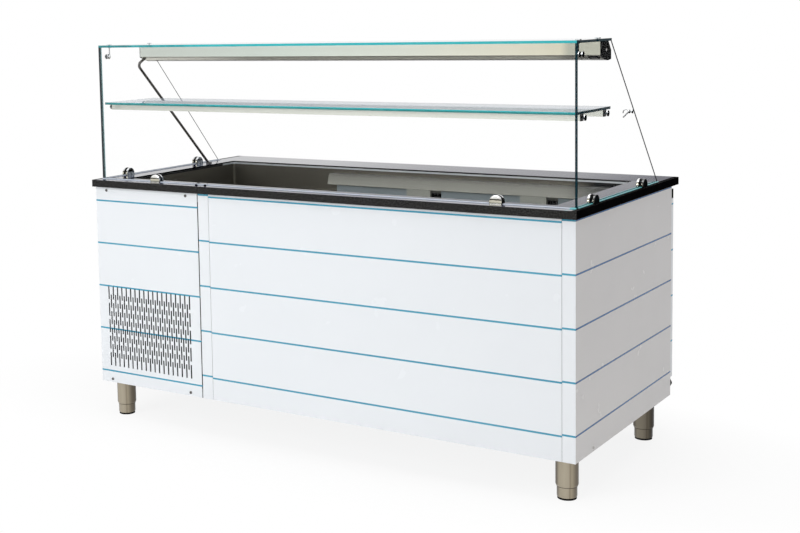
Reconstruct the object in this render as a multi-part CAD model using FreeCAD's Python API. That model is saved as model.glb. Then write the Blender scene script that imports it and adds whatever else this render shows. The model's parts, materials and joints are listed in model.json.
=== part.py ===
"""A refrigerated salad bar counter: white cabinet on four legs, granite worktop with a sunken
cold well, glass canopy with a shelf and a lamp, refrigeration unit behind a grille.

Millimetres. X runs along the counter, Y from the customer's side to the operator's side, Z up.
The origin is on the floor, below the middle of the worktop.
"""

import FreeCAD, Part
import math
import os

V = FreeCAD.Vector

# Overall sizes
COUNTER_LENGTH = 1830.0
COUNTER_DEPTH = 900.0
WORKTOP_HEIGHT = 870.0
CANOPY_HEIGHT = 480.0
GROUND_CLEARANCE = 130.0
SIDE_OVERHANG = 7.0
FRONT_OVERHANG = 12.0
REAR_OVERHANG = 50.0
OVERRUN = 4.0

# Worktop and cold well
SLAB_THICKNESS = 25.0
SLAB_EDGE_RADIUS = 2.0
WELL_END_MARGIN = 98.0
WELL_FRONT_MARGIN = 90.0
WELL_REAR_MARGIN = 170.0
WELL_CORNER_RADIUS = 12.0
WELL_DEPTH = 165.0
BASIN_GAP = 1.0
BASIN_DROP = 5.0
BASIN_HEM_HEIGHT = 6.0
BASIN_HEM_WIDTH = 5.0
BASIN_FLANGE = 20.0
WELL_FOAM = 40.0
PLUG_RADIUS = 3.0
PLUG_INSET = 28.0
PLUG_PLACE_SHARES = (0.247, 0.268)

# Bent tubes
BEND_RUN_SHARE = 0.45

# Sheet metal and the welded chassis
SHEET = 1.5
ANGLE_LEG = 30.0
ANGLE_WALL = 3.0
RETURN_DEPTH = 10.0
RETURN_GAP = 1.0

# Front of the cabinet
MACHINE_PANEL_WIDTH = 459.0
PANEL_GAP = 4.0
POST_WIDTH = 43.0
SEAM = 1.5
CORNER_FLANGE = 41.0
SLOT_WIDTH = 5.5
SLOT_LENGTH = 48.0
SLOT_PITCH = 20.5
SLOT_GAP = 13.0
SLOT_COLUMNS = 19
SLOT_ROWS = 5
GRILLE_BOTTOM = 192.0

# Screws
SCREW_HEAD_RADIUS = 5.0
SCREW_HEAD_HEIGHT = 3.0
SCREW_SHANK_RADIUS = 2.0
SCREW_LENGTH = 8.0
SCREW_INSET_X = 50.0
SCREW_INSET_Z = 12.0
SIDE_SCREW_INSET = 138.0
HOLE_GAP = 0.2

# Legs and feet
LEG_INSET_X = 54.0
LEG_INSET_FRONT = 68.0
LEG_INSET_REAR = 108.0
SLEEVE_RADIUS = 34.0
SLEEVE_BOTTOM = 38.0
SLEEVE_TAPER_WIDTH = 2.5
SLEEVE_TAPER_HEIGHT = 7.0
SLEEVE_CAP = 6.0
CUP_RADIUS = 30.0
CUP_WALL = 3.0
CUP_TOP = 100.0
CUP_GAP = 0.05
PAD_HEIGHT = 5.0
PAD_INSET = 1.5
STUD_RADIUS = 5.0
NUT_RADIUS = 9.0
NUT_HEIGHT = 8.0
GUSSET_MARGIN = 30.0

# Cold cupboard below the well
CUPBOARD_FOAM = 45.0
CUPBOARD_GAP = 2.0
PARTITION_SHEET = 1.5
SHELF_HEIGHT_SHARE = 0.5
LEDGE_WIDTH = 14.0
WIRE = 5.0
WIRE_PITCH = 36.0
WIRE_SHELF_GAP = 3.0
MULLION = 44.0

# Rear doors
DOOR_THICKNESS = 20.0
DOOR_STANDOFF = 4.0
DOOR_BOTTOM_RISE = 60.0
DOOR_TOP_DROP = 44.0
DOOR_SIDE_INSET = 2.0
DOOR_GAP = 4.0
DOOR_LIP = 16.0
DOOR_LIP_SHARE = 0.5
PIVOT_INSET = 8.0
PIN_RADIUS = 3.0
PIN_GAP = 0.05
PIN_ENGAGE = 9.0
BRACKET_WIDTH = 16.0
TOP_BRACKET_HEIGHT = 31.0
LOW_BRACKET_HEIGHT = 33.0
BRACKET_GAP = 0.3
COLLAR_RADIUS = 5.0
GASKET_WIDTH = 10.0
GASKET_GAP = 0.3
GASKET_MARGIN = 2.0

# Glass canopy
PANE = 8.0
PANE_END_INSET = 16.0
PANE_FRONT_INSET = 41.0
SIDE_PANE_BOTTOM_DEPTH = 686.0
TOP_PANE_DEPTH = 274.0
SHELF_TOP = 275.0
SHELF_FRONT_GAP = 8.0
SHELF_DEPTH = 273.0
SHELF_END_GAP = 1.0
RAIL = 20.0
RAIL_WALL = 1.5
RAIL_FRONT_INSET = 46.0
RAIL_REAR_INSET = 47.0
RAIL_PLUG = 3.0
RAIL_PLUG_SPIGOT = 12.0
DISC_RADIUS = 9.0
DISC_THICKNESS = 2.5
BOLT_RADIUS = 3.0
BOLT_LENGTH = 22.0
CLAMP_RADIUS = 21.0
CLAMP_RISE = 5.5
CLAMP_THICKNESS = 7.0
CLAMP_PAD = 1.0
CLAMP_ROUND = 2.0
CLAMP_X = 650.0
CLAMP_Y_SHARES = (0.188, 0.797)
CONNECTOR_INSET = 5.0
CONNECTOR_DEPTH = 36.0
CONNECTOR_DROP = 33.0
CONNECTOR_RADIUS = 2.2
CONNECTOR_BALL = 4.5
HOUSING_BOLT_INSET = 25.0

# Lamp
LAMP_FRONT_INSET = 217.0
LAMP_DEPTH = 74.0
LAMP_HEIGHT = 58.0
LAMP_PROFILE_SHARES = (
    (0.0, 0.0),
    (0.0, 0.724),
    (0.351, 0.914),
    (0.676, 1.0),
    (1.0, 0.948),
    (1.0, 0.483),
    (0.70, 0.0),
)
LAMP_WALL = 1.5
LAMP_CAP = 6.0
LAMP_MOUTH_SHARES = (0.38, 0.88)
LAMP_TUBE_SHARE = 0.45
LAMP_TUBE_RADIUS = 8.0
LAMP_TUBE_DROP = 22.0
LAMP_HOLDER = 6.0
CAP_SCREW_SHARES = (0.5, 0.45)
LAMP_SWITCH_INSET = 24.0
CONDUIT_RADIUS = 5.0
CONDUIT_BEND = 14.0
CONDUIT_WALL_GAP = 16.0
CONDUIT_FOOT_INSET = 66.0
CONDUIT_FOOT_DEPTH = 609.0
CONDUIT_TOP_DROP = 12.0
CONDUIT_TOP_SETBACK = 12.0
CONDUIT_KNEE_FORWARD = 32.0
CONDUIT_KNEE_DROP = 68.0
CONDUIT_GAP = 0.3
FERRULE_RADIUS = 11.0
FERRULE_HEIGHT = 6.0

# Hook on the right pane
HOOK_RADIUS = 6.0
HOOK_THICKNESS = 2.0
HOOK_HEIGHT = 248.0
HOOK_EDGE_INSET = 22.0
HOOK_FINGER_RADIUS = 2.3
HOOK_FINGER_LENGTH = 25.0
HOOK_FINGER_SLOPE = 45.0
HOOK_WIRE_RADIUS = 1.4
HOOK_CURL_REACH = 19.0
HOOK_CURL_RISE = 6.0
HOOK_CURL_DROP = 5.0

# Air duct and evaporator along the back of the well
DUCT_LEFT_SHARE = 0.2935
DUCT_DEPTH = 58.5
DUCT_LEAN = 15.0
DUCT_TOP_DROP = 24.5
DUCT_HEIGHT = 39.0
DUCT_END_GAP = 10.0
DUCT_LIP = 14.0
RETURN_PLATE_SETBACK = 12.0
RETURN_HOLE_WIDTH = 38.0
RETURN_HOLE_HEIGHT = 60.0
BRACKET_LENGTH = 96.0
BRACKET_PLACE_SHARES = (0.5006, 0.7711)
END_WINDOW = 35.0
COIL_GAP = 6.0
COIL_DEPTH = 30.0
COIL_HEIGHT = 84.0
COIL_PITCH = 16.0
FIN = 2.0
COIL_SPINE = 6.0

# Drain
DRAIN_INSET = 80.0
DRAIN_RADIUS = 16.0
DRAIN_FLANGE_RADIUS = 28.0
DRAIN_FLANGE = 2.0
DRAIN_GAP = 1.0
VALVE_RADIUS = 22.0
VALVE_HEIGHT = 44.0
VALVE_STEM_RADIUS = 5.0
VALVE_STEM_LENGTH = 14.0
DRAIN_TAIL = 20.0
LEVER_HUB_RADIUS = 9.0
LEVER_THICKNESS = 5.0
LEVER_LENGTH = 85.0
LEVER_WIDTH = 14.0
RUN_GAP = 0.05

# Refrigeration unit
TRAY_MARGIN = 18.0
TRAY_SHEET = 2.0
TRAY_FLANGE = 14.0
CONDENSER_WIDTH = 350.0
CONDENSER_DEPTH = 44.0
CONDENSER_HEIGHT = 316.0
CONDENSER_SETBACK = 34.0
SHROUD_DEPTH = 38.0
FAN_RADIUS = 118.0
FAN_TIP_GAP = 6.0
FAN_HUB_RADIUS = 28.0
FAN_HUB_DEPTH = 22.0
FAN_BLADES = 5
FAN_BLADE_WIDTH = 58.0
FAN_BLADE_THICKNESS = 2.0
FAN_BLADE_PITCH = 24.0
FAN_SHAFT_RADIUS = 4.0
FAN_GAP = 4.0
ARM_WIDTH = 14.0
ARM_THICKNESS = 3.0
MOTOR_RADIUS = 40.0
MOTOR_LENGTH = 60.0
COMPRESSOR_RADIUS = 82.0
COMPRESSOR_HEIGHT = 150.0
COMPRESSOR_DOME = 40.0
COMPRESSOR_REAR_ROOM = 308.5
COMPRESSOR_FOOT_HEIGHT = 14.0
COMPRESSOR_FOOT_RADIUS = 11.0
COMPRESSOR_FOOT_SPREAD = 78.0
PIPE_RADIUS = 5.0
PIPE_BEND = 22.0
PIPE_SPREAD = 30.0
DRIER_RADIUS = 12.0
DRIER_LENGTH = 70.0

# Controls on the rear service panel
VENT_SLOT_LENGTH = 90.0
VENT_SLOT_WIDTH = 6.0
VENT_PITCH = 16.0
VENT_ROWS = 14
VENT_COLUMNS = 3
VENT_COLUMN_GAP = 24.0
VENT_BOTTOM = 200.0
FASCIA_WIDTH = 190.0
FASCIA_HEIGHT = 76.0
FASCIA_THICKNESS = 3.0
FASCIA_BOX_DEPTH = 46.0
FASCIA_BOX_MARGIN = 8.0
FASCIA_DROP = 90.0
KNOB_RADIUS = 20.0
KNOB_DEPTH = 15.0
KNOB_POINTER_WIDTH = 5.0
KNOB_SHAFT_RADIUS = 3.0
KNOB_SHAFT_LENGTH = 14.0
KNOB_PLACE_SHARE = 0.28
SWITCH_PLACE_SHARE = 0.76
ROCKER_LENGTH = 24.0
ROCKER_WIDTH = 12.0
ROCKER_DEPTH = 7.0
ROCKER_TILT = 5.0
ROCKER_GAP = 1.0
ROCKER_PIN_RADIUS = 1.5
ROCKER_PIN_LENGTH = 1.6
POCKET_WALL = 2.0
POCKET_FLOOR_GAP = 2.0

# Places worked out from the sizes above
HALF_LENGTH = COUNTER_LENGTH / 2
FRONT = -COUNTER_DEPTH / 2
REAR = COUNTER_DEPTH / 2
SLAB_BOTTOM = WORKTOP_HEIGHT - SLAB_THICKNESS
CABINET_HALF = HALF_LENGTH - SIDE_OVERHANG
CABINET_FRONT = FRONT + FRONT_OVERHANG
CABINET_REAR = REAR - REAR_OVERHANG
INNER_HALF = CABINET_HALF - SHEET
INNER_FRONT = CABINET_FRONT + SHEET
INNER_REAR = CABINET_REAR - SHEET
FRAME_BOTTOM = GROUND_CLEARANCE + SHEET
FRAME_DECK = FRAME_BOTTOM + ANGLE_LEG
WELL_HALF = HALF_LENGTH - WELL_END_MARGIN
WELL_FRONT = FRONT + WELL_FRONT_MARGIN
WELL_REAR = REAR - WELL_REAR_MARGIN
BASIN_HALF = WELL_HALF - BASIN_GAP
BASIN_FRONT = WELL_FRONT + BASIN_GAP
BASIN_REAR = WELL_REAR - BASIN_GAP
BASIN_FLOOR = WORKTOP_HEIGHT - WELL_DEPTH
BASIN_RIM = WORKTOP_HEIGHT - BASIN_DROP
FOAM_BOTTOM = BASIN_FLOOR - SHEET - WELL_FOAM
MACHINE_RIGHT = -CABINET_HALF + MACHINE_PANEL_WIDTH
POST_LEFT = MACHINE_RIGHT + PANEL_GAP
POST_RIGHT = POST_LEFT + POST_WIDTH
MAIN_LEFT = POST_RIGHT + SEAM
FLANGE_LEFT = CABINET_HALF - CORNER_FLANGE
MAIN_RIGHT = FLANGE_LEFT - SEAM
RETURN_BOTTOM = FRAME_DECK + RETURN_GAP
RETURN_TOP = SLAB_BOTTOM - ANGLE_LEG - RETURN_GAP
CUPBOARD_LEFT = POST_LEFT + ANGLE_WALL + CUPBOARD_GAP
CUPBOARD_RIGHT = INNER_HALF - ANGLE_WALL - CUPBOARD_GAP
CUPBOARD_FRONT = INNER_FRONT + RETURN_DEPTH + CUPBOARD_GAP
LINER_LEFT = CUPBOARD_LEFT + CUPBOARD_FOAM
LINER_RIGHT = CUPBOARD_RIGHT - CUPBOARD_FOAM
LINER_FRONT = CUPBOARD_FRONT + CUPBOARD_FOAM
LINER_BOTTOM = FRAME_DECK + CUPBOARD_FOAM
LINER_TOP = FOAM_BOTTOM - CUPBOARD_FOAM
STORE_LEFT = LINER_LEFT + SHEET
STORE_RIGHT = LINER_RIGHT - SHEET
STORE_FRONT = LINER_FRONT + SHEET
STORE_BOTTOM = LINER_BOTTOM + SHEET
STORE_TOP = LINER_TOP - SHEET
STORE_MIDDLE = (STORE_LEFT + STORE_RIGHT) / 2
SHELF_LEVEL = STORE_BOTTOM + (STORE_TOP - STORE_BOTTOM) * SHELF_HEIGHT_SHARE
DOOR_BACK = CABINET_REAR + DOOR_STANDOFF
DOOR_BOTTOM = GROUND_CLEARANCE + DOOR_BOTTOM_RISE
DOOR_TOP = SLAB_BOTTOM - DOOR_TOP_DROP
DOOR_FACE = DOOR_BACK + DOOR_THICKNESS
DOORS_LEFT = POST_LEFT + ANGLE_LEG / 2
DOORS_RIGHT = CABINET_HALF - DOOR_SIDE_INSET
DOOR_WIDTH = (DOORS_RIGHT - DOORS_LEFT - DOOR_GAP) / 2
PIVOT_Y = (DOOR_BACK + DOOR_FACE) / 2
LEG_X = CABINET_HALF - LEG_INSET_X
LEG_FRONT_Y = CABINET_FRONT + LEG_INSET_FRONT
LEG_REAR_Y = CABINET_REAR - LEG_INSET_REAR
PANE_OUT = HALF_LENGTH - PANE_END_INSET
PANE_IN = PANE_OUT - PANE
PANE_FRONT = FRONT + PANE_FRONT_INSET
PANE_BACK = PANE_FRONT + PANE
CANOPY_TOP = WORKTOP_HEIGHT + CANOPY_HEIGHT
TOP_PANE_BOTTOM = CANOPY_TOP - PANE
TOP_PANE_REAR = PANE_FRONT + TOP_PANE_DEPTH
SIDE_PANE_REAR = PANE_BACK + SIDE_PANE_BOTTOM_DEPTH
SHELF_BOTTOM = WORKTOP_HEIGHT + SHELF_TOP - PANE
SHELF_FRONT = PANE_BACK + SHELF_FRONT_GAP
SHELF_REAR = SHELF_FRONT + SHELF_DEPTH
RAIL_PLACES = (SHELF_FRONT + RAIL_FRONT_INSET, SHELF_REAR - RAIL_REAR_INSET)
RAIL_MIDDLE = SHELF_BOTTOM - RAIL / 2
LAMP_FRONT = PANE_FRONT + LAMP_FRONT_INSET
LAMP_END = PANE_IN - LAMP_CAP
DUCT_LEFT = -WELL_HALF + DUCT_LEFT_SHARE * 2 * WELL_HALF
BASIN_BACK_FACE = BASIN_REAR - SHEET
BASIN_END_FACE = BASIN_HALF - SHEET
DUCT_FRONT = BASIN_BACK_FACE - DUCT_DEPTH
DUCT_TOP = WORKTOP_HEIGHT - DUCT_TOP_DROP
DUCT_BOTTOM = DUCT_TOP - DUCT_HEIGHT
BASIN_DECK = BASIN_FLOOR + SHEET
RETURN_PLATE_Y = DUCT_FRONT + RETURN_PLATE_SETBACK
DRAIN_X = -WELL_HALF + DRAIN_INSET
DRAIN_Y = (WELL_FRONT + WELL_REAR) / 2
VALVE_TOP = FOAM_BOTTOM - DRAIN_TAIL
VALVE_BOTTOM = VALVE_TOP - VALVE_HEIGHT
LEVER_Z = (VALVE_TOP + VALVE_BOTTOM) / 2
LEVER_Y = DRAIN_Y - VALVE_RADIUS - LEVER_THICKNESS
TRAY_LEFT = -INNER_HALF + TRAY_MARGIN
TRAY_RIGHT = POST_LEFT - TRAY_MARGIN
TRAY_TOP = FRAME_DECK + TRAY_SHEET
UNIT_X = (TRAY_LEFT + TRAY_RIGHT) / 2
COMPRESSOR_Y = INNER_REAR - COMPRESSOR_REAR_ROOM
CONDENSER_FRONT = INNER_FRONT + CONDENSER_SETBACK
SHROUD_FRONT = CONDENSER_FRONT + CONDENSER_DEPTH
SHROUD_REAR = SHROUD_FRONT + SHROUD_DEPTH
FAN_Z = TRAY_TOP + CONDENSER_HEIGHT / 2
ARM_REAR = SHROUD_REAR + ARM_THICKNESS
FAN_HUB_REAR = SHROUD_REAR - FAN_GAP
PANEL_MIDDLE = (-INNER_HALF + POST_LEFT) / 2
FASCIA_TOP = SLAB_BOTTOM - FASCIA_DROP / 2
FASCIA_BOTTOM = FASCIA_TOP - FASCIA_HEIGHT
FASCIA_LEFT = PANEL_MIDDLE - FASCIA_WIDTH / 2
FASCIA_MIDDLE_Z = (FASCIA_TOP + FASCIA_BOTTOM) / 2
FASCIA_FACE = CABINET_REAR + FASCIA_THICKNESS
KNOB_X = FASCIA_LEFT + FASCIA_WIDTH * KNOB_PLACE_SHARE
SWITCH_X = FASCIA_LEFT + FASCIA_WIDTH * SWITCH_PLACE_SHARE

X_AXIS = V(1, 0, 0)
Y_AXIS = V(0, 1, 0)
Z_AXIS = V(0, 0, 1)
SIDES = (-1, 1)


def box(x0, x1, y0, y1, z0, z1):
    """A block between two values on each axis."""
    return Part.makeBox(x1 - x0, y1 - y0, z1 - z0, V(x0, y0, z0))


def rod(radius, length, start, direction):
    """A round bar from a start point."""
    return Part.makeCylinder(radius, length, start, direction)


def side_box(side, x0, x1, y0, y1, z0, z1):
    """A block given for the right side, or its mirror image on the left."""
    return box(min(side * x0, side * x1), max(side * x0, side * x1), y0, y1, z0, z1)


def prism(points, direction):
    """A solid swept straight from a flat outline."""
    return Part.Face(Part.makePolygon(points + points[:1])).extrude(direction)


def join(shapes):
    """One solid from several that touch."""
    shape = shapes[0].fuse(shapes[1:]) if len(shapes) > 1 else shapes[0]
    return shape.removeSplitter()


def cut_all(shape, tools):
    """A solid with several tools taken away from it."""
    return shape.cut(Part.makeCompound(tools))


def group(shapes):
    """Separate solids that share one node."""
    return Part.makeCompound(shapes)


def rounded_box(x0, x1, y0, y1, z0, z1, radius):
    """A block whose upright edges are rounded."""
    block = box(x0, x1, y0, y1, z0, z1)
    upright = [e for e in block.Edges if abs(e.tangentAt(e.FirstParameter).z) > 1 - 1e-6]
    return block.makeFillet(radius, upright)


def bent_rod(points, bend, radius):
    """A round bar along straight runs joined by tangent arcs, none tighter than its runs allow."""
    edges = []
    start = points[0]
    for before, corner, after in zip(points, points[1:], points[2:]):
        u = (before - corner).normalize()
        w = (after - corner).normalize()
        half = u.getAngle(w) / 2
        shorter = min((before - corner).Length, (after - corner).Length)
        setback = min(bend / math.tan(half), shorter * BEND_RUN_SHARE)
        arc_radius = setback * math.tan(half)
        first = corner + u * setback
        last = corner + w * setback
        middle_way = (u + w).normalize()
        middle = corner + middle_way * (arc_radius / math.sin(half) - arc_radius)
        edges.append(Part.LineSegment(start, first).toShape())
        edges.append(Part.Arc(first, middle, last).toShape())
        start = last
    edges.append(Part.LineSegment(start, points[-1]).toShape())
    ring = Part.Wire([Part.makeCircle(radius, points[0], points[1] - points[0])])
    return Part.Wire(edges).makePipeShell([ring], True, True)


def pan_head_screw(place, outward):
    """A domed head on the face at place, and its shank going in."""
    head = rod(SCREW_HEAD_RADIUS, SCREW_HEAD_HEIGHT, place, outward)
    far = place + outward * SCREW_HEAD_HEIGHT
    rim = [e for e in head.Edges if (e.BoundBox.Center - far).Length < HOLE_GAP and e.Closed]
    head = head.makeFillet(SCREW_HEAD_HEIGHT / 2, rim[:1])
    shank = rod(SCREW_SHANK_RADIUS, SCREW_LENGTH, place, outward * -1)
    return join([head, shank])


def screw_hole(place, outward):
    """The clearance hole for one of the screws."""
    start = place + outward * OVERRUN
    return rod(SCREW_SHANK_RADIUS + HOLE_GAP, SCREW_LENGTH + HOLE_GAP + OVERRUN, start, outward * -1)


def panel_screw_places():
    """Corners of the machine panel, on its face."""
    xs = (-CABINET_HALF + SCREW_INSET_X, MACHINE_RIGHT - SCREW_INSET_X)
    zs = (GROUND_CLEARANCE + SCREW_INSET_Z, SLAB_BOTTOM - SCREW_INSET_Z)
    return [V(x, CABINET_FRONT, z) for x in xs for z in zs]


def side_screw_place(side):
    """The low screw on a side panel."""
    return V(side * CABINET_HALF, CABINET_FRONT + SIDE_SCREW_INSET, GROUND_CLEARANCE + SCREW_INSET_Z)


def leg_places():
    """Middle of each leg, by the name of its corner."""
    return {
        "front_left": V(-LEG_X, LEG_FRONT_Y, 0),
        "front_right": V(LEG_X, LEG_FRONT_Y, 0),
        "rear_left": V(-LEG_X, LEG_REAR_Y, 0),
        "rear_right": V(LEG_X, LEG_REAR_Y, 0),
    }


def frame_ring(z0, z1, inset):
    """A rectangular ring just inside the cabinet's skin."""
    outer = box(-INNER_HALF, INNER_HALF, INNER_FRONT, INNER_REAR, z0, z1)
    hole = box(
        -INNER_HALF + inset,
        INNER_HALF - inset,
        INNER_FRONT + inset,
        INNER_REAR - inset,
        z0 - OVERRUN,
        z1 + OVERRUN,
    )
    return outer.cut(hole)


def corner_upright(side, y_wall, inward):
    """An angle section in a corner of the chassis."""
    y_far = y_wall + inward * ANGLE_LEG
    y_near = y_wall + inward * ANGLE_WALL
    across = side_box(
        side, INNER_HALF - ANGLE_LEG, INNER_HALF,
        min(y_wall, y_near), max(y_wall, y_near), FRAME_BOTTOM, SLAB_BOTTOM,
    )
    along = side_box(
        side, INNER_HALF - ANGLE_WALL, INNER_HALF,
        min(y_wall, y_far), max(y_wall, y_far), FRAME_BOTTOM, SLAB_BOTTOM,
    )
    return [across, along]


def middle_upright(y_wall, inward):
    """An angle section between the machine bay and the cupboard."""
    y_far = y_wall + inward * ANGLE_LEG
    y_near = y_wall + inward * ANGLE_WALL
    across = box(
        POST_LEFT, POST_LEFT + ANGLE_LEG,
        min(y_wall, y_near), max(y_wall, y_near), FRAME_BOTTOM, SLAB_BOTTOM,
    )
    along = box(
        POST_LEFT, POST_LEFT + ANGLE_WALL,
        min(y_wall, y_far), max(y_wall, y_far), FRAME_BOTTOM, SLAB_BOTTOM,
    )
    return [across, along]


def gusset(place):
    """The plate that a leg is bolted to."""
    side = 1 if place.x > 0 else -1
    x0 = LEG_X - GUSSET_MARGIN
    z0, z1 = FRAME_BOTTOM, FRAME_BOTTOM + ANGLE_WALL
    if place.y < 0:
        return side_box(side, x0, INNER_HALF, INNER_FRONT, LEG_FRONT_Y + GUSSET_MARGIN, z0, z1)
    return side_box(side, x0, INNER_HALF, LEG_REAR_Y - GUSSET_MARGIN, INNER_REAR, z0, z1)


def chassis_frame():
    """The welded angle-iron chassis."""
    pieces = [
        frame_ring(FRAME_BOTTOM, FRAME_DECK, ANGLE_WALL),
        frame_ring(FRAME_DECK - ANGLE_WALL, FRAME_DECK, ANGLE_LEG),
        frame_ring(SLAB_BOTTOM - ANGLE_LEG, SLAB_BOTTOM, ANGLE_WALL),
        frame_ring(SLAB_BOTTOM - ANGLE_WALL, SLAB_BOTTOM, ANGLE_LEG),
    ]
    for y_wall, inward in ((INNER_FRONT, 1), (INNER_REAR, -1)):
        for side in SIDES:
            pieces += corner_upright(side, y_wall, inward)
        pieces += middle_upright(y_wall, inward)
    pieces.append(
        box(POST_LEFT, POST_LEFT + ANGLE_WALL, INNER_FRONT, INNER_REAR, FRAME_BOTTOM, FRAME_DECK)
    )
    pieces.append(
        box(
            POST_LEFT - ANGLE_LEG, POST_LEFT + ANGLE_LEG,
            INNER_FRONT, INNER_REAR, FRAME_DECK - ANGLE_WALL, FRAME_DECK,
        )
    )
    pieces += [gusset(place) for place in leg_places().values()]
    tools = [screw_hole(place, -Y_AXIS) for place in panel_screw_places()]
    tools += [screw_hole(side_screw_place(side), X_AXIS * side) for side in SIDES]
    tools += [stud_hole(place) for place in leg_places().values()]
    return cut_all(join(pieces), tools)


def stud_hole(place):
    """The hole for a leg's stud."""
    start = V(place.x, place.y, GROUND_CLEARANCE - OVERRUN)
    return rod(STUD_RADIUS + HOLE_GAP, OVERRUN + SHEET + ANGLE_WALL + OVERRUN, start, Z_AXIS)


def floor_panel():
    """The sheet that closes the cabinet from below."""
    sheet = box(-INNER_HALF, INNER_HALF, INNER_FRONT, INNER_REAR, GROUND_CLEARANCE, FRAME_BOTTOM)
    return cut_all(sheet, [stud_hole(place) for place in leg_places().values()])


def leg_sleeves():
    """Four fixed outer tubes, each with its closed top, stud and nut."""
    sleeves = []
    for place in leg_places().values():
        base = V(place.x, place.y, SLEEVE_BOTTOM)
        taper = Part.makeCone(
            SLEEVE_RADIUS - SLEEVE_TAPER_WIDTH, SLEEVE_RADIUS, SLEEVE_TAPER_HEIGHT, base, Z_AXIS
        )
        upper = base + Z_AXIS * SLEEVE_TAPER_HEIGHT
        tube = rod(SLEEVE_RADIUS, GROUND_CLEARANCE - upper.z, upper, Z_AXIS)
        stud_start = V(place.x, place.y, GROUND_CLEARANCE - SLEEVE_CAP)
        nut_start = V(place.x, place.y, FRAME_BOTTOM + ANGLE_WALL)
        stud_top = nut_start.z + NUT_HEIGHT + SHEET
        stud = rod(STUD_RADIUS, stud_top - stud_start.z, stud_start, Z_AXIS)
        corners = [
            nut_start + V(math.cos(a), math.sin(a), 0) * NUT_RADIUS
            for a in (math.radians(60) * k for k in range(6))
        ]
        nut = prism(corners, Z_AXIS * NUT_HEIGHT)
        bore_top = GROUND_CLEARANCE - SLEEVE_CAP
        bore_start = base - Z_AXIS * OVERRUN
        bore = rod(CUP_RADIUS + CUP_GAP, bore_top - bore_start.z, bore_start, Z_AXIS)
        sleeves.append(join([taper, tube]).cut(bore).fuse([stud, nut]).removeSplitter())
    return group(sleeves)


def levelling_foot(place):
    """A sliding cup with a rubber pad pressed into its underside."""
    base = V(place.x, place.y, PAD_HEIGHT)
    cup = rod(CUP_RADIUS, CUP_TOP - PAD_HEIGHT, base, Z_AXIS)
    hollow_start = base + Z_AXIS * CUP_WALL
    hollow = rod(CUP_RADIUS - CUP_WALL, CUP_TOP - hollow_start.z + OVERRUN, hollow_start, Z_AXIS)
    pad = Part.makeCone(
        CUP_RADIUS - 2 * PAD_INSET, CUP_RADIUS - PAD_INSET, PAD_HEIGHT, V(place.x, place.y, 0), Z_AXIS
    )
    return group([cup.cut(hollow), pad])


def left_side_panel():
    """Flat white sheet on the machine bay's side."""
    sheet = box(-CABINET_HALF, -INNER_HALF, INNER_FRONT, CABINET_REAR, GROUND_CLEARANCE, SLAB_BOTTOM)
    return sheet.cut(screw_hole(side_screw_place(-1), -X_AXIS))


def right_side_panel():
    """White sheet whose front edge is folded round the corner as a narrow strip."""
    sheet = box(INNER_HALF, CABINET_HALF, CABINET_FRONT, CABINET_REAR, GROUND_CLEARANCE, SLAB_BOTTOM)
    strip = box(
        FLANGE_LEFT, CABINET_HALF, CABINET_FRONT, INNER_FRONT, GROUND_CLEARANCE, SLAB_BOTTOM
    )
    fold = box(
        FLANGE_LEFT, FLANGE_LEFT + SHEET,
        CABINET_FRONT, INNER_FRONT + RETURN_DEPTH, RETURN_BOTTOM, RETURN_TOP,
    )
    return join([sheet, strip, fold]).cut(screw_hole(side_screw_place(1), X_AXIS))


def grille_slots():
    """Upright slots in columns, every second column half a slot higher."""
    pitch_z = SLOT_LENGTH + SLOT_GAP
    middle = (-CABINET_HALF + MACHINE_RIGHT) / 2
    first = middle - SLOT_PITCH * (SLOT_COLUMNS - 1) / 2
    columns = [(first + SLOT_PITCH * k, 0, SLOT_ROWS) for k in range(SLOT_COLUMNS)]
    columns += [
        (first + SLOT_PITCH * (k + 1 / 2), pitch_z / 2, SLOT_ROWS - 1) for k in range(SLOT_COLUMNS - 1)
    ]
    slots = []
    for x, lift, rows in columns:
        for row in range(rows):
            z0 = GRILLE_BOTTOM + lift + pitch_z * row
            slots.append(
                box(
                    x - SLOT_WIDTH / 2, x + SLOT_WIDTH / 2,
                    CABINET_FRONT - OVERRUN, INNER_FRONT + OVERRUN, z0, z0 + SLOT_LENGTH,
                )
            )
    return slots


def machine_front_panel():
    """Removable panel with the air grille."""
    sheet = box(
        -CABINET_HALF, MACHINE_RIGHT, CABINET_FRONT, INNER_FRONT, GROUND_CLEARANCE, SLAB_BOTTOM
    )
    fold = box(
        MACHINE_RIGHT - SHEET, MACHINE_RIGHT,
        CABINET_FRONT, INNER_FRONT + RETURN_DEPTH, RETURN_BOTTOM, RETURN_TOP,
    )
    tools = grille_slots() + [screw_hole(place, -Y_AXIS) for place in panel_screw_places()]
    return cut_all(join([sheet, fold]), tools)


def front_post_strip():
    """Narrow cover on the chassis upright."""
    return box(POST_LEFT, POST_RIGHT, CABINET_FRONT, INNER_FRONT, GROUND_CLEARANCE, SLAB_BOTTOM)


def front_main_panel():
    """The long white front, folded back at both ends."""
    sheet = box(MAIN_LEFT, MAIN_RIGHT, CABINET_FRONT, INNER_FRONT, GROUND_CLEARANCE, SLAB_BOTTOM)
    folds = [
        box(x, x + SHEET, CABINET_FRONT, INNER_FRONT + RETURN_DEPTH, RETURN_BOTTOM, RETURN_TOP)
        for x in (MAIN_LEFT, MAIN_RIGHT - SHEET)
    ]
    return join([sheet] + folds)


def pan_head_screws():
    """The machine panel's, the side panels' and the lamp end caps' screws."""
    screws = [pan_head_screw(place, -Y_AXIS) for place in panel_screw_places()]
    screws += [pan_head_screw(side_screw_place(side), X_AXIS * side) for side in SIDES]
    screws += [pan_head_screw(cap_screw_place(side), X_AXIS * side) for side in SIDES]
    return group(screws)


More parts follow.
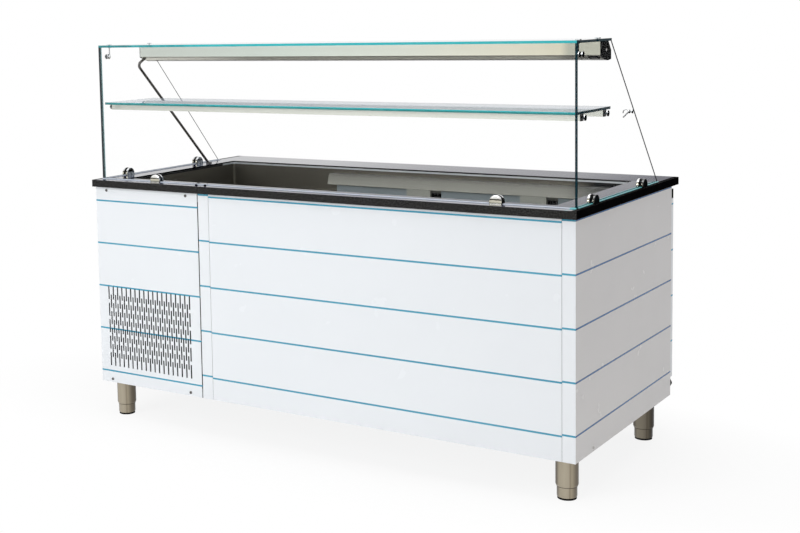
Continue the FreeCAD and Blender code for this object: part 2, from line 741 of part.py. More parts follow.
def cap_screw_place(side):
    """Seat of the screw sunk in a lamp end cap."""
    y_share, z_share = CAP_SCREW_SHARES
    depth = SCREW_HEAD_HEIGHT + HOLE_GAP
    return V(
        side * (PANE_IN - depth),
        LAMP_FRONT + LAMP_DEPTH * y_share,
        TOP_PANE_BOTTOM - LAMP_HEIGHT * z_share,
    )


def door_windows():
    """Left, right, bottom and top of the two openings behind the doors."""
    low, high = STORE_BOTTOM, STORE_TOP
    return [
        (STORE_LEFT, STORE_MIDDLE - MULLION / 2, low, high),
        (STORE_MIDDLE + MULLION / 2, STORE_RIGHT, low, high),
    ]


def rear_face_frame():
    """Sheet round the two openings of the cupboard."""
    sheet = box(
        POST_LEFT + ANGLE_LEG / 2 - DOOR_GAP, INNER_HALF,
        INNER_REAR, CABINET_REAR, GROUND_CLEARANCE, SLAB_BOTTOM,
    )
    tools = [
        box(x0, x1, INNER_REAR - OVERRUN, CABINET_REAR + OVERRUN, z0, z1)
        for x0, x1, z0, z1 in door_windows()
    ]
    return cut_all(sheet, tools)


def rear_service_panel():
    """Ventilated cover of the machine bay, with the cut-out for the controls."""
    right = POST_LEFT + ANGLE_LEG / 2 - DOOR_GAP - SEAM
    sheet = box(-INNER_HALF, right, INNER_REAR, CABINET_REAR, GROUND_CLEARANCE, SLAB_BOTTOM)
    y0, y1 = INNER_REAR - OVERRUN, CABINET_REAR + OVERRUN
    row_width = VENT_COLUMNS * VENT_SLOT_LENGTH + (VENT_COLUMNS - 1) * VENT_COLUMN_GAP
    first = PANEL_MIDDLE - row_width / 2
    tools = []
    for column in range(VENT_COLUMNS):
        x0 = first + column * (VENT_SLOT_LENGTH + VENT_COLUMN_GAP)
        for row in range(VENT_ROWS):
            z0 = VENT_BOTTOM + VENT_PITCH * row
            tools.append(box(x0, x0 + VENT_SLOT_LENGTH, y0, y1, z0, z0 + VENT_SLOT_WIDTH))
    tools.append(fascia_box(y0, y1, HOLE_GAP))
    return cut_all(sheet, tools)


def fascia_box(y0, y1, gap):
    """The block behind the control fascia, with a gap round it when it is used as a cutter."""
    margin = FASCIA_BOX_MARGIN - gap
    return box(
        FASCIA_LEFT + margin, FASCIA_LEFT + FASCIA_WIDTH - margin,
        y0, y1, FASCIA_BOTTOM + margin, FASCIA_TOP - margin,
    )


def control_fascia():
    """Moulded control module: plate, box behind it, pocket for the switch, bore for the knob."""
    plate = box(
        FASCIA_LEFT, FASCIA_LEFT + FASCIA_WIDTH,
        CABINET_REAR, FASCIA_FACE, FASCIA_BOTTOM, FASCIA_TOP,
    )
    back = fascia_box(FASCIA_FACE - FASCIA_BOX_DEPTH, FASCIA_FACE, 0)
    module = join([plate, back]).cut(place_on_fascia(rocker_space()))
    bore_start = V(KNOB_X, FASCIA_FACE + OVERRUN, FASCIA_MIDDLE_Z)
    bore = rod(
        KNOB_SHAFT_RADIUS + RUN_GAP, KNOB_SHAFT_LENGTH + OVERRUN + HOLE_GAP, bore_start, -Y_AXIS
    )
    return module.cut(bore)


def thermostat_knob():
    """Round knob with a raised pointer and its shaft."""
    face = V(KNOB_X, FASCIA_FACE + BRACKET_GAP, FASCIA_MIDDLE_Z)
    body = rod(KNOB_RADIUS, KNOB_DEPTH, face, Y_AXIS)
    body = body.makeChamfer(
        KNOB_POINTER_WIDTH / 4, [e for e in body.Edges if e.BoundBox.YMin > face.y + KNOB_DEPTH / 2]
    )
    pointer = box(
        KNOB_X - KNOB_POINTER_WIDTH / 2, KNOB_X + KNOB_POINTER_WIDTH / 2,
        face.y + KNOB_DEPTH, face.y + KNOB_DEPTH + KNOB_POINTER_WIDTH / 2,
        FASCIA_MIDDLE_Z, FASCIA_MIDDLE_Z + KNOB_RADIUS - KNOB_POINTER_WIDTH,
    )
    shaft = rod(KNOB_SHAFT_RADIUS, KNOB_SHAFT_LENGTH + BRACKET_GAP, face, -Y_AXIS)
    return join([body, pointer, shaft])


def rocker():
    """A switch rocker at the origin: length on X, width on Y, pressed side down, face up."""
    body = box(
        -ROCKER_LENGTH / 2, ROCKER_LENGTH / 2,
        -ROCKER_WIDTH / 2, ROCKER_WIDTH / 2, -ROCKER_DEPTH / 2, ROCKER_DEPTH / 2,
    )
    pin_start = V(0, -ROCKER_WIDTH / 2 - ROCKER_PIN_LENGTH, 0)
    pin = rod(ROCKER_PIN_RADIUS, ROCKER_WIDTH + 2 * ROCKER_PIN_LENGTH, pin_start, Y_AXIS)
    turned = join([body, pin])
    turned.rotate(V(0, 0, 0), Y_AXIS, -ROCKER_TILT)
    return turned


def rocker_space():
    """The pocket and the two pin bores that a rocker needs, at the origin."""
    half = ROCKER_LENGTH / 2 + ROCKER_GAP
    wide = ROCKER_WIDTH / 2 + ROCKER_GAP / 2
    pocket = box(-half, half, -wide, wide, -ROCKER_DEPTH / 2 - POCKET_FLOOR_GAP, ROCKER_DEPTH)
    pin_half = ROCKER_WIDTH / 2 + ROCKER_PIN_LENGTH + HOLE_GAP
    bore = rod(ROCKER_PIN_RADIUS + RUN_GAP, 2 * pin_half, V(0, -pin_half, 0), Y_AXIS)
    return pocket.fuse(bore)


def place_on_fascia(shape):
    """Turns a switch shape from the origin to the rear fascia, face to the operator."""
    placed = shape.copy()
    placed.rotate(V(0, 0, 0), Y_AXIS, 90)
    placed.rotate(V(0, 0, 0), Z_AXIS, 90)
    placed.translate(V(SWITCH_X, FASCIA_FACE - ROCKER_DEPTH / 4, FASCIA_MIDDLE_Z))
    return placed


def storage_insulation():
    """Foam body of the cold cupboard, open to the rear."""
    outer = box(
        CUPBOARD_LEFT, CUPBOARD_RIGHT, CUPBOARD_FRONT, INNER_REAR - ANGLE_WALL, FRAME_DECK, FOAM_BOTTOM
    )
    hollow = box(LINER_LEFT, LINER_RIGHT, LINER_FRONT, INNER_REAR + OVERRUN, LINER_BOTTOM, LINER_TOP)
    post = box(
        CUPBOARD_LEFT - OVERRUN, POST_LEFT + ANGLE_LEG + CUPBOARD_GAP,
        INNER_REAR - ANGLE_WALL - CUPBOARD_GAP, INNER_REAR + OVERRUN,
        FRAME_DECK - OVERRUN, FOAM_BOTTOM + OVERRUN,
    )
    return cut_all(outer, [hollow, post])


def storage_liner():
    """Stainless lining with a partition and ledges for the shelves."""
    outer = box(LINER_LEFT, LINER_RIGHT, LINER_FRONT, INNER_REAR, LINER_BOTTOM, LINER_TOP)
    y0, y1 = STORE_FRONT, INNER_REAR + OVERRUN
    half_wall = PARTITION_SHEET / 2
    bays = [(STORE_LEFT, STORE_MIDDLE - half_wall), (STORE_MIDDLE + half_wall, STORE_RIGHT)]
    shell = cut_all(outer, [box(x0, x1, y0, y1, STORE_BOTTOM, STORE_TOP) for x0, x1 in bays])
    ledges = []
    for x0, x1 in bays:
        for left, right in ((x0, x0 + LEDGE_WIDTH), (x1 - LEDGE_WIDTH, x1)):
            ledges.append(
                box(left, right, STORE_FRONT, INNER_REAR - ANGLE_LEG, SHELF_LEVEL - SHEET, SHELF_LEVEL)
            )
    return join([shell] + ledges)


def wire_shelf(x0, x1):
    """A shelf of welded wires that lies on two ledges."""
    y0 = STORE_FRONT + WIRE_SHELF_GAP
    y1 = INNER_REAR - ANGLE_LEG - WIRE_SHELF_GAP
    low, top = SHELF_LEVEL, SHELF_LEVEL + WIRE
    pieces = [box(x0, x1, y, y + WIRE, low, top) for y in (y0, y1 - WIRE)]
    pieces += [box(x, x + WIRE, y0, y1, low, top) for x in (x0, x1 - WIRE)]
    count = int((x1 - x0) / WIRE_PITCH)
    pitch = (x1 - x0 - WIRE) / count
    pieces += [
        box(x0 + pitch * k, x0 + pitch * k + WIRE / 2, y0, y1, low + WIRE / 2, top + WIRE / 2)
        for k in range(1, count)
    ]
    return join(pieces)


def wire_shelves():
    """One shelf behind each door."""
    half_wall = PARTITION_SHEET / 2
    return group(
        [
            wire_shelf(STORE_LEFT + WIRE_SHELF_GAP, STORE_MIDDLE - half_wall - WIRE_SHELF_GAP),
            wire_shelf(STORE_MIDDLE + half_wall + WIRE_SHELF_GAP, STORE_RIGHT - WIRE_SHELF_GAP),
        ]
    )


def door_edges(side):
    """Left and right edge of a door, and the X of its pivot."""
    if side < 0:
        return DOORS_LEFT, DOORS_LEFT + DOOR_WIDTH, DOORS_LEFT + PIVOT_INSET
    return DOORS_RIGHT - DOOR_WIDTH, DOORS_RIGHT, DOORS_RIGHT - PIVOT_INSET


def door(side):
    """A folded outer shell with a grip lip at its free edge, and the inner panel that closes it."""
    x0, x1, pivot = door_edges(side)
    outer = box(x0, x1, DOOR_BACK, DOOR_FACE, DOOR_BOTTOM, DOOR_TOP)
    hollow = box(
        x0 + SHEET, x1 - SHEET, DOOR_BACK - OVERRUN, DOOR_FACE - SHEET,
        DOOR_BOTTOM + SHEET, DOOR_TOP - SHEET,
    )
    middle = (DOOR_BOTTOM + DOOR_TOP) / 2
    half = (DOOR_TOP - DOOR_BOTTOM) * DOOR_LIP_SHARE / 2
    lip_x = x1 - SHEET if side < 0 else x0
    lip = box(
        lip_x, lip_x + SHEET, DOOR_FACE - SHEET, DOOR_FACE + DOOR_LIP, middle - half, middle + half
    )
    pins = [
        rod(PIN_RADIUS + PIN_GAP, 2 * PIN_ENGAGE, V(pivot, PIVOT_Y, z - PIN_ENGAGE), Z_AXIS)
        for z in (DOOR_BOTTOM, DOOR_TOP)
    ]
    shell = cut_all(join([outer.cut(hollow), lip]), pins)
    panel = box(
        x0 + SHEET, x1 - SHEET, DOOR_BACK, DOOR_BACK + SHEET, DOOR_BOTTOM + SHEET, DOOR_TOP - SHEET
    )
    return group([shell, panel])


def door_gasket(side):
    """The seal round one opening, carried on the door's inner face."""
    x0, x1, z0, z1 = door_windows()[0 if side < 0 else 1]
    y0, y1 = CABINET_REAR + GASKET_GAP, DOOR_BACK
    inner = GASKET_MARGIN
    outer = GASKET_MARGIN + GASKET_WIDTH
    ring = box(x0 - outer, x1 + outer, y0, y1, z0 - outer, z1 + outer)
    return ring.cut(
        box(x0 - inner, x1 + inner, y0 - OVERRUN, y1 + OVERRUN, z0 - inner, z1 + inner)
    )


def hinge_brackets():
    """Upper block and lower wedge for each door, with their pins."""
    brackets = []
    for side in SIDES:
        pivot = door_edges(side)[2]
        x0, x1 = pivot - BRACKET_WIDTH / 2, pivot + BRACKET_WIDTH / 2
        low = DOOR_TOP + BRACKET_GAP
        upper = box(x0, x1, CABINET_REAR, DOOR_FACE, low, low + TOP_BRACKET_HEIGHT)
        upper_pin = rod(PIN_RADIUS, PIN_ENGAGE, V(pivot, PIVOT_Y, low), -Z_AXIS)
        brackets.append(join([upper, upper_pin]))
        foot = DOOR_BOTTOM - LOW_BRACKET_HEIGHT
        outline = [
            V(x0, CABINET_REAR, foot),
            V(x0, DOOR_FACE, foot + LOW_BRACKET_HEIGHT / 5),
            V(x0, DOOR_FACE, foot + LOW_BRACKET_HEIGHT / 3),
            V(x0, CABINET_REAR, DOOR_BOTTOM - BRACKET_GAP),
        ]
        wedge = prism(outline, V(BRACKET_WIDTH, 0, 0))
        seat = V(pivot, PIVOT_Y, foot + LOW_BRACKET_HEIGHT / 4)
        collar = rod(COLLAR_RADIUS, DOOR_BOTTOM - BRACKET_GAP - seat.z, seat, Z_AXIS)
        pin = rod(PIN_RADIUS, DOOR_BOTTOM + PIN_ENGAGE - seat.z, seat, Z_AXIS)
        brackets.append(join([wedge, collar, pin]))
    return group(brackets)


def plug_places():
    """The two small plugs in the granite ahead of the front pane."""
    return [
        V(-HALF_LENGTH + COUNTER_LENGTH * share, FRONT + PLUG_INSET, WORKTOP_HEIGHT)
        for share in PLUG_PLACE_SHARES
    ]


def worktop():
    """Granite slab with the opening for the well."""
    slab = box(-HALF_LENGTH, HALF_LENGTH, FRONT, REAR, SLAB_BOTTOM, WORKTOP_HEIGHT)
    top_edges = [e for e in slab.Edges if e.BoundBox.ZMin > WORKTOP_HEIGHT - SLAB_EDGE_RADIUS]
    slab = slab.makeFillet(SLAB_EDGE_RADIUS, top_edges)
    opening = rounded_box(
        -WELL_HALF, WELL_HALF, WELL_FRONT, WELL_REAR,
        SLAB_BOTTOM - OVERRUN, WORKTOP_HEIGHT + OVERRUN, WELL_CORNER_RADIUS,
    )
    route = conduit_route()
    way = (route[-1] - route[-2]).normalize()
    hole_length = 2 * (SLAB_THICKNESS + OVERRUN)
    hole = rod(CONDUIT_RADIUS + CONDUIT_GAP, hole_length, route[-1] - way * hole_length, way)
    tools = [opening, hole]
    tools += [rod(PLUG_RADIUS, PLUG_RADIUS, place, -Z_AXIS) for place in plug_places()]
    return cut_all(slab, tools)


def well_basin():
    """Stainless tub: floor, walls, a hem at the rim, a flange under the slab, the drain hole."""
    outer = rounded_box(
        -BASIN_HALF, BASIN_HALF, BASIN_FRONT, BASIN_REAR, BASIN_FLOOR, BASIN_RIM,
        WELL_CORNER_RADIUS - BASIN_GAP,
    )
    flange = rounded_box(
        -BASIN_HALF - BASIN_FLANGE, BASIN_HALF + BASIN_FLANGE,
        BASIN_FRONT - BASIN_FLANGE, BASIN_REAR + BASIN_FLANGE,
        SLAB_BOTTOM - SHEET, SLAB_BOTTOM, WELL_CORNER_RADIUS,
    )
    inner_radius = WELL_CORNER_RADIUS - BASIN_GAP - SHEET
    hollow = rounded_box(
        -BASIN_HALF + SHEET, BASIN_HALF - SHEET, BASIN_FRONT + SHEET, BASIN_REAR - SHEET,
        BASIN_DECK, BASIN_RIM - BASIN_HEM_HEIGHT, inner_radius,
    )
    mouth = rounded_box(
        -BASIN_HALF + BASIN_HEM_WIDTH, BASIN_HALF - BASIN_HEM_WIDTH,
        BASIN_FRONT + BASIN_HEM_WIDTH, BASIN_REAR - BASIN_HEM_WIDTH,
        BASIN_RIM - BASIN_HEM_HEIGHT - OVERRUN, BASIN_RIM + OVERRUN,
        WELL_CORNER_RADIUS - BASIN_HEM_WIDTH,
    )
    hole = rod(
        DRAIN_RADIUS + DRAIN_GAP, SHEET + 2 * OVERRUN,
        V(DRAIN_X, DRAIN_Y, BASIN_FLOOR - OVERRUN), Z_AXIS,
    )
    return cut_all(join([outer, flange]), [hollow, mouth, hole])


def well_insulation():
    """Foam tray round the tub."""
    outer = box(
        -BASIN_HALF - WELL_FOAM, BASIN_HALF + WELL_FOAM,
        BASIN_FRONT - WELL_FOAM, BASIN_REAR + WELL_FOAM, FOAM_BOTTOM, SLAB_BOTTOM - ANGLE_WALL,
    )
    hollow = box(
        -BASIN_HALF, BASIN_HALF, BASIN_FRONT, BASIN_REAR, BASIN_FLOOR, SLAB_BOTTOM + OVERRUN
    )
    hole = rod(
        DRAIN_RADIUS + DRAIN_GAP, WELL_FOAM + SHEET + 2 * OVERRUN,
        V(DRAIN_X, DRAIN_Y, FOAM_BOTTOM - OVERRUN), Z_AXIS,
    )
    return cut_all(outer, [hollow, hole])


def bracket_lefts():
    """Left edges of the two duct brackets."""
    return [-WELL_HALF + share * 2 * WELL_HALF for share in BRACKET_PLACE_SHARES]


def air_duct_cover():
    """Folded cover at the back of the well: leaning hood above, pierced plate below."""
    right = BASIN_END_FACE - DUCT_END_GAP
    brow = DUCT_FRONT + DUCT_LEAN
    top = box(DUCT_LEFT, right, brow, BASIN_BACK_FACE, DUCT_TOP - SHEET, DUCT_TOP)
    slope = [V(DUCT_LEFT, DUCT_FRONT, DUCT_BOTTOM), V(DUCT_LEFT, brow, DUCT_TOP)]
    face = prism(
        slope + [slope[1] + Y_AXIS * SHEET, slope[0] + Y_AXIS * SHEET],
        X_AXIS * (right - DUCT_LEFT),
    )
    lip = box(
        DUCT_LEFT, right, DUCT_FRONT, RETURN_PLATE_Y + SHEET, DUCT_BOTTOM, DUCT_BOTTOM + SHEET
    )
    back = [V(DUCT_LEFT, BASIN_BACK_FACE, DUCT_TOP), V(DUCT_LEFT, BASIN_BACK_FACE, DUCT_BOTTOM)]
    end = prism(slope + back, X_AXIS * SHEET)
    plate = box(
        DUCT_LEFT + END_WINDOW, right, RETURN_PLATE_Y, RETURN_PLATE_Y + SHEET,
        BASIN_DECK, DUCT_BOTTOM + SHEET,
    )
    high = DUCT_BOTTOM - SHEET
    holes = [
        box(
            left + BRACKET_LENGTH, left + BRACKET_LENGTH + RETURN_HOLE_WIDTH,
            RETURN_PLATE_Y - OVERRUN, RETURN_PLATE_Y + SHEET + OVERRUN,
            high - RETURN_HOLE_HEIGHT, high,
        )
        for left in bracket_lefts()
    ]
    return cut_all(join([top, face, lip, end, plate]), holes)


def duct_brackets():
    """Two boxes that carry the duct on the tub's floor."""
    brackets = []
    for left in bracket_lefts():
        outer = box(
            left, left + BRACKET_LENGTH, DUCT_FRONT, RETURN_PLATE_Y, BASIN_DECK, DUCT_BOTTOM
        )
        hollow = box(
            left + SHEET, left + BRACKET_LENGTH - SHEET, DUCT_FRONT + SHEET,
            RETURN_PLATE_Y + OVERRUN, BASIN_DECK - OVERRUN, DUCT_BOTTOM - SHEET,
        )
        brackets.append(outer.cut(hollow))
    return group(brackets)


def finned_block(x0, x1, y0, y1, z0, z1):
    """A coil block: upright fins on a solid spine at the back."""
    block = box(x0, x1, y0, y1, z0, z1)
    count = int((x1 - x0) / COIL_PITCH)
    pitch = (x1 - x0 - FIN) / count
    gaps = [
        box(
            x0 + FIN + pitch * k, x0 + pitch * (k + 1), y0 - OVERRUN, y1 - COIL_SPINE,
            z0 + COIL_SPINE, z1 + OVERRUN,
        )
        for k in range(count)
    ]
    return cut_all(block, gaps)


def evaporator_coil():
    """Finned coil behind the duct's lower plate."""
    y0 = RETURN_PLATE_Y + SHEET + COIL_GAP
    return finned_block(
        DUCT_LEFT + END_WINDOW, BASIN_END_FACE - END_WINDOW, y0, y0 + COIL_DEPTH,
        BASIN_DECK, BASIN_DECK + COIL_HEIGHT,
    )


def drain_valve():
    """Strainer flange, pipe, ball valve body and its stem."""
    top = V(DRAIN_X, DRAIN_Y, BASIN_DECK + DRAIN_FLANGE)
    flange = rod(DRAIN_FLANGE_RADIUS, DRAIN_FLANGE, top, -Z_AXIS)
    pipe = rod(DRAIN_RADIUS, top.z - VALVE_BOTTOM + DRAIN_TAIL, top, -Z_AXIS)
    body = rod(VALVE_RADIUS, VALVE_HEIGHT, V(DRAIN_X, DRAIN_Y, VALVE_BOTTOM), Z_AXIS)
    way = rod(
        DRAIN_RADIUS - CUP_WALL, top.z - VALVE_TOP + OVERRUN,
        V(DRAIN_X, DRAIN_Y, VALVE_TOP), Z_AXIS,
    )
    stem_length = DRAIN_Y - LEVER_Y + LEVER_THICKNESS
    stem = rod(VALVE_STEM_RADIUS, stem_length, V(DRAIN_X, DRAIN_Y, LEVER_Z), -Y_AXIS)
    return join([flange, pipe, body, stem]).cut(way)


def drain_lever():
    """Flat lever that turns on the valve's stem; it lies across the pipe when shut."""
    y1 = LEVER_Y + LEVER_THICKNESS - BRACKET_GAP
    y0 = y1 - LEVER_THICKNESS
    hub = rod(LEVER_HUB_RADIUS, y1 - y0, V(DRAIN_X, y0, LEVER_Z), Y_AXIS)
    blade = box(
        DRAIN_X, DRAIN_X + LEVER_LENGTH, y0, y1, LEVER_Z - LEVER_WIDTH / 2, LEVER_Z + LEVER_WIDTH / 2
    )
    bore = rod(
        VALVE_STEM_RADIUS + RUN_GAP, LEVER_THICKNESS + 2 * OVERRUN,
        V(DRAIN_X, y0 - OVERRUN, LEVER_Z), Y_AXIS,
    )
    return join([hub, blade]).cut(bore)


def connector_place(side):
    """Where the front corner connector's two arms meet."""
    return V(
        side * (PANE_IN - CONNECTOR_INSET), PANE_BACK + CONNECTOR_DEPTH,
        TOP_PANE_BOTTOM - CONNECTOR_DROP,
    )


def housing_bolt_place(side):
    """A bolt that holds the lamp under the top pane."""
    y = (TOP_PANE_REAR + LAMP_FRONT) / 2
    return V(side * (PANE_IN - HOUSING_BOLT_INSET), y, CANOPY_TOP)


def rail_bolt_places():
    """Where the shelf rails' bolts meet the outside of the side panes."""
    return [(side, V(side * PANE_OUT, y, RAIL_MIDDLE)) for side in SIDES for y in RAIL_PLACES]


def hook_place():
    """Middle of the hook's disc, on the outside of the right pane."""
    z = WORKTOP_HEIGHT + HOOK_HEIGHT
    share = HOOK_HEIGHT / (TOP_PANE_BOTTOM - WORKTOP_HEIGHT)
    edge = SIDE_PANE_REAR + (TOP_PANE_REAR - SIDE_PANE_REAR) * share
    return V(PANE_OUT, edge - HOOK_EDGE_INSET, z)


def bolt_hole(place, direction):
    """A hole through a pane, a little wider than a bolt."""
    start = place - direction * (PANE + OVERRUN)
    return rod(BOLT_RADIUS + HOLE_GAP, PANE + 2 * OVERRUN, start, direction)


def front_glass():
    """Upright front pane."""
    return box(-PANE_OUT, PANE_OUT, PANE_FRONT, PANE_BACK, WORKTOP_HEIGHT, TOP_PANE_BOTTOM)


def side_glass(side):
    """Side pane with a sloping rear edge."""
    outline = [
        V(side * PANE_IN, PANE_BACK, WORKTOP_HEIGHT),
        V(side * PANE_IN, SIDE_PANE_REAR, WORKTOP_HEIGHT),
        V(side * PANE_IN, TOP_PANE_REAR, TOP_PANE_BOTTOM),
        V(side * PANE_IN, PANE_BACK, TOP_PANE_BOTTOM),
    ]
    pane = prism(outline, X_AXIS * side * PANE)
    places = [place for s, place in rail_bolt_places() if s == side]
    joint = connector_place(side)
    places.append(V(side * PANE_OUT, joint.y, joint.z))
    if side > 0:
        places.append(hook_place())
    return cut_all(pane, [bolt_hole(place, X_AXIS * side) for place in places])


def top_glass():
    """Flat pane that roofs the canopy's front."""
    pane = box(-PANE_OUT, PANE_OUT, PANE_FRONT, TOP_PANE_REAR, TOP_PANE_BOTTOM, CANOPY_TOP)
    holes = []
    for side in SIDES:
        joint = connector_place(side)
        holes.append(bolt_hole(V(joint.x, joint.y, CANOPY_TOP), Z_AXIS))
        holes.append(bolt_hole(housing_bolt_place(side), Z_AXIS))
    return cut_all(pane, holes)


def shelf_glass():
    """Middle shelf between the side panes."""
    end = PANE_IN - SHELF_END_GAP
    return box(-end, end, SHELF_FRONT, SHELF_REAR, SHELF_BOTTOM, SHELF_BOTTOM + PANE)


def shelf_rails():
    """Two square tubes below the shelf."""
    end = PANE_IN - RAIL_PLUG
    rails = []
    for y in RAIL_PLACES:
        z = RAIL_MIDDLE
        outer = box(-end, end, y - RAIL / 2, y + RAIL / 2, z - RAIL / 2, z + RAIL / 2)
        half = RAIL / 2 - RAIL_WALL
        rails.append(
            outer.cut(box(-end - OVERRUN, end + OVERRUN, y - half, y + half, z - half, z + half))
        )
    return group(rails)


def rail_end_plugs():
    """Black plugs between the rails and the side panes."""
    plugs = []
    for side, place in rail_bolt_places():
        y, z = place.y, place.z
        half = RAIL / 2
        head = side_box(side, PANE_IN - RAIL_PLUG, PANE_IN, y - half, y + half, z - half, z + half)
        half = RAIL / 2 - RAIL_WALL
        spigot = side_box(
            side, PANE_IN - RAIL_PLUG - RAIL_PLUG_SPIGOT, PANE_IN - RAIL_PLUG,
            y - half, y + half, z - half, z + half,
        )
        bore_start = V(side * (PANE_IN - RAIL_PLUG - RAIL_PLUG_SPIGOT - OVERRUN), y, z)
        bore = rod(
            BOLT_RADIUS + HOLE_GAP, RAIL_PLUG + RAIL_PLUG_SPIGOT + 2 * OVERRUN,
            bore_start, X_AXIS * side,
        )
        plugs.append(join([head, spigot]).cut(bore))
    return group(plugs)


def disc_bolt(place, outward):
    """A flat disc head on a pane and the shank through it."""
    head = rod(DISC_RADIUS, DISC_THICKNESS, place, outward)
    return join([head, rod(BOLT_RADIUS, BOLT_LENGTH, place, outward * -1)])


def glass_bolts():
    """Disc-headed bolts of the shelf rails and of the lamp."""
    bolts = [disc_bolt(place, X_AXIS * side) for side, place in rail_bolt_places()]
    bolts += [disc_bolt(housing_bolt_place(side), Z_AXIS) for side in SIDES]
    return group(bolts)


def clamp_places():
    """Each clamp's foot point on the pane's outer face, and the pane's outward direction."""
    places = [(V(side * CLAMP_X, PANE_FRONT, WORKTOP_HEIGHT), -Y_AXIS) for side in SIDES]
    for side in SIDES:
        for share in CLAMP_Y_SHARES:
            y = PANE_BACK + SIDE_PANE_BOTTOM_DEPTH * share
            places.append((V(side * PANE_OUT, y, WORKTOP_HEIGHT), X_AXIS * side))
    return places


def slab_disc(place, outward, radius, thickness):
    """The part of a disc above the worktop, its middle a little higher than the stone."""
    disc = rod(radius, thickness, place + Z_AXIS * CLAMP_RISE, outward)
    size = radius + thickness + OVERRUN
    below = box(
        place.x - size, place.x + size, place.y - size, place.y + size, place.z - size, place.z
    )
    return disc.cut(below)


def glass_clamps():
    """Pairs of chrome discs, cut flat at the foot, on both sides of each pane."""
    clamps = []
    for place, outward in clamp_places():
        for start, way in (
            (place + outward * CLAMP_PAD, outward),
            (place - outward * (PANE + CLAMP_PAD), outward * -1),
        ):
            half = slab_disc(start, way, CLAMP_RADIUS, CLAMP_THICKNESS)
            far = start + way * CLAMP_THICKNESS
            rim = [
                e for e in half.Edges
                if abs((e.BoundBox.Center - far).dot(way)) < HOLE_GAP
                and e.BoundBox.ZLength > CLAMP_ROUND
            ]
            clamps.append(half.makeFillet(CLAMP_ROUND, rim[:1]))
    return group(clamps)


def clamp_pads():
    """Black pads between the glass and the chrome discs."""
    pads = []
    for place, outward in clamp_places():
        pads.append(slab_disc(place, outward, CLAMP_RADIUS, CLAMP_PAD))
        pads.append(slab_disc(place - outward * PANE, outward * -1, CLAMP_RADIUS, CLAMP_PAD))
    return group(pads)


def corner_connectors():
    """Round elbows that tie the top pane to the side panes near the front."""
    connectors = []
    for side in SIDES:
        joint = connector_place(side)
        above = V(joint.x, joint.y, TOP_PANE_BOTTOM)
        beside = V(side * PANE_IN, joint.y, joint.z)
        pieces = [
            Part.makeSphere(CONNECTOR_BALL, joint),
            rod(CONNECTOR_RADIUS, CONNECTOR_DROP, joint, Z_AXIS),
            rod(CONNECTOR_RADIUS, CONNECTOR_INSET, joint, X_AXIS * side),
            rod(CONNECTOR_BALL, DISC_THICKNESS, above - Z_AXIS * DISC_THICKNESS, Z_AXIS),
            rod(DISC_RADIUS, DISC_THICKNESS, beside - X_AXIS * side * DISC_THICKNESS, X_AXIS * side),
            rod(BOLT_RADIUS, PANE + DISC_THICKNESS, above, Z_AXIS),
            rod(BOLT_RADIUS, PANE + DISC_THICKNESS, beside, X_AXIS * side),
            rod(DISC_RADIUS, DISC_THICKNESS, above + Z_AXIS * PANE, Z_AXIS),
            rod(DISC_RADIUS, DISC_THICKNESS, beside + X_AXIS * side * PANE, X_AXIS * side),
        ]
        connectors.append(join(pieces))
    return group(connectors)


def lamp_outline(x):
    """The lamp's section at one X."""
    return [
        V(x, LAMP_FRONT + LAMP_DEPTH * a, TOP_PANE_BOTTOM - LAMP_HEIGHT * b)
        for a, b in LAMP_PROFILE_SHARES
    ]


def lamp_inner_face(x):
    """The section of the hollow inside the lamp."""
    wire = Part.makePolygon(lamp_outline(x) + lamp_outline(x)[:1])
    return Part.Face(wire).makeOffset2D(-LAMP_WALL, 2)


def lamp_mouth():
    """Front, rear and level of the opening in the lamp's underside."""
    y0, y1 = (LAMP_FRONT + LAMP_DEPTH * share for share in LAMP_MOUTH_SHARES)
    low = TOP_PANE_BOTTOM - LAMP_HEIGHT
    return y0, y1, low, low + LAMP_HEIGHT / 4


def lamp_switch_frame():
    """Middle of the lamp's switch, and the slope of the face that it sits in, in degrees."""
    a, b = lamp_outline(0)[1], lamp_outline(0)[2]
    middle = (a + b) * (1 / 2)
    slope = math.degrees(math.atan2(a.z - b.z, b.y - a.y))
    return V(LAMP_END - LAMP_SWITCH_INSET, middle.y, middle.z), slope


def place_on_lamp(shape):
    """Turns a switch shape from the origin to the lamp's sloping lower front face."""
    middle, slope = lamp_switch_frame()
    placed = shape.copy()
    placed.rotate(V(0, 0, 0), X_AXIS, 180)
    placed.translate(V(0, 0, ROCKER_DEPTH / 4))
    placed.rotate(V(0, 0, 0), X_AXIS, -slope)
    placed.translate(middle)
    return placed


def switch_block():
    """The solid block that a rocker's pocket is cut in, at the origin."""
    half = ROCKER_LENGTH / 2 + ROCKER_GAP + POCKET_WALL
    wide = ROCKER_WIDTH / 2 + ROCKER_GAP / 2 + POCKET_WALL
    low = -ROCKER_DEPTH / 2 - POCKET_FLOOR_GAP - POCKET_WALL
    return box(-half, half, -wide, wide, low, ROCKER_DEPTH / 4)


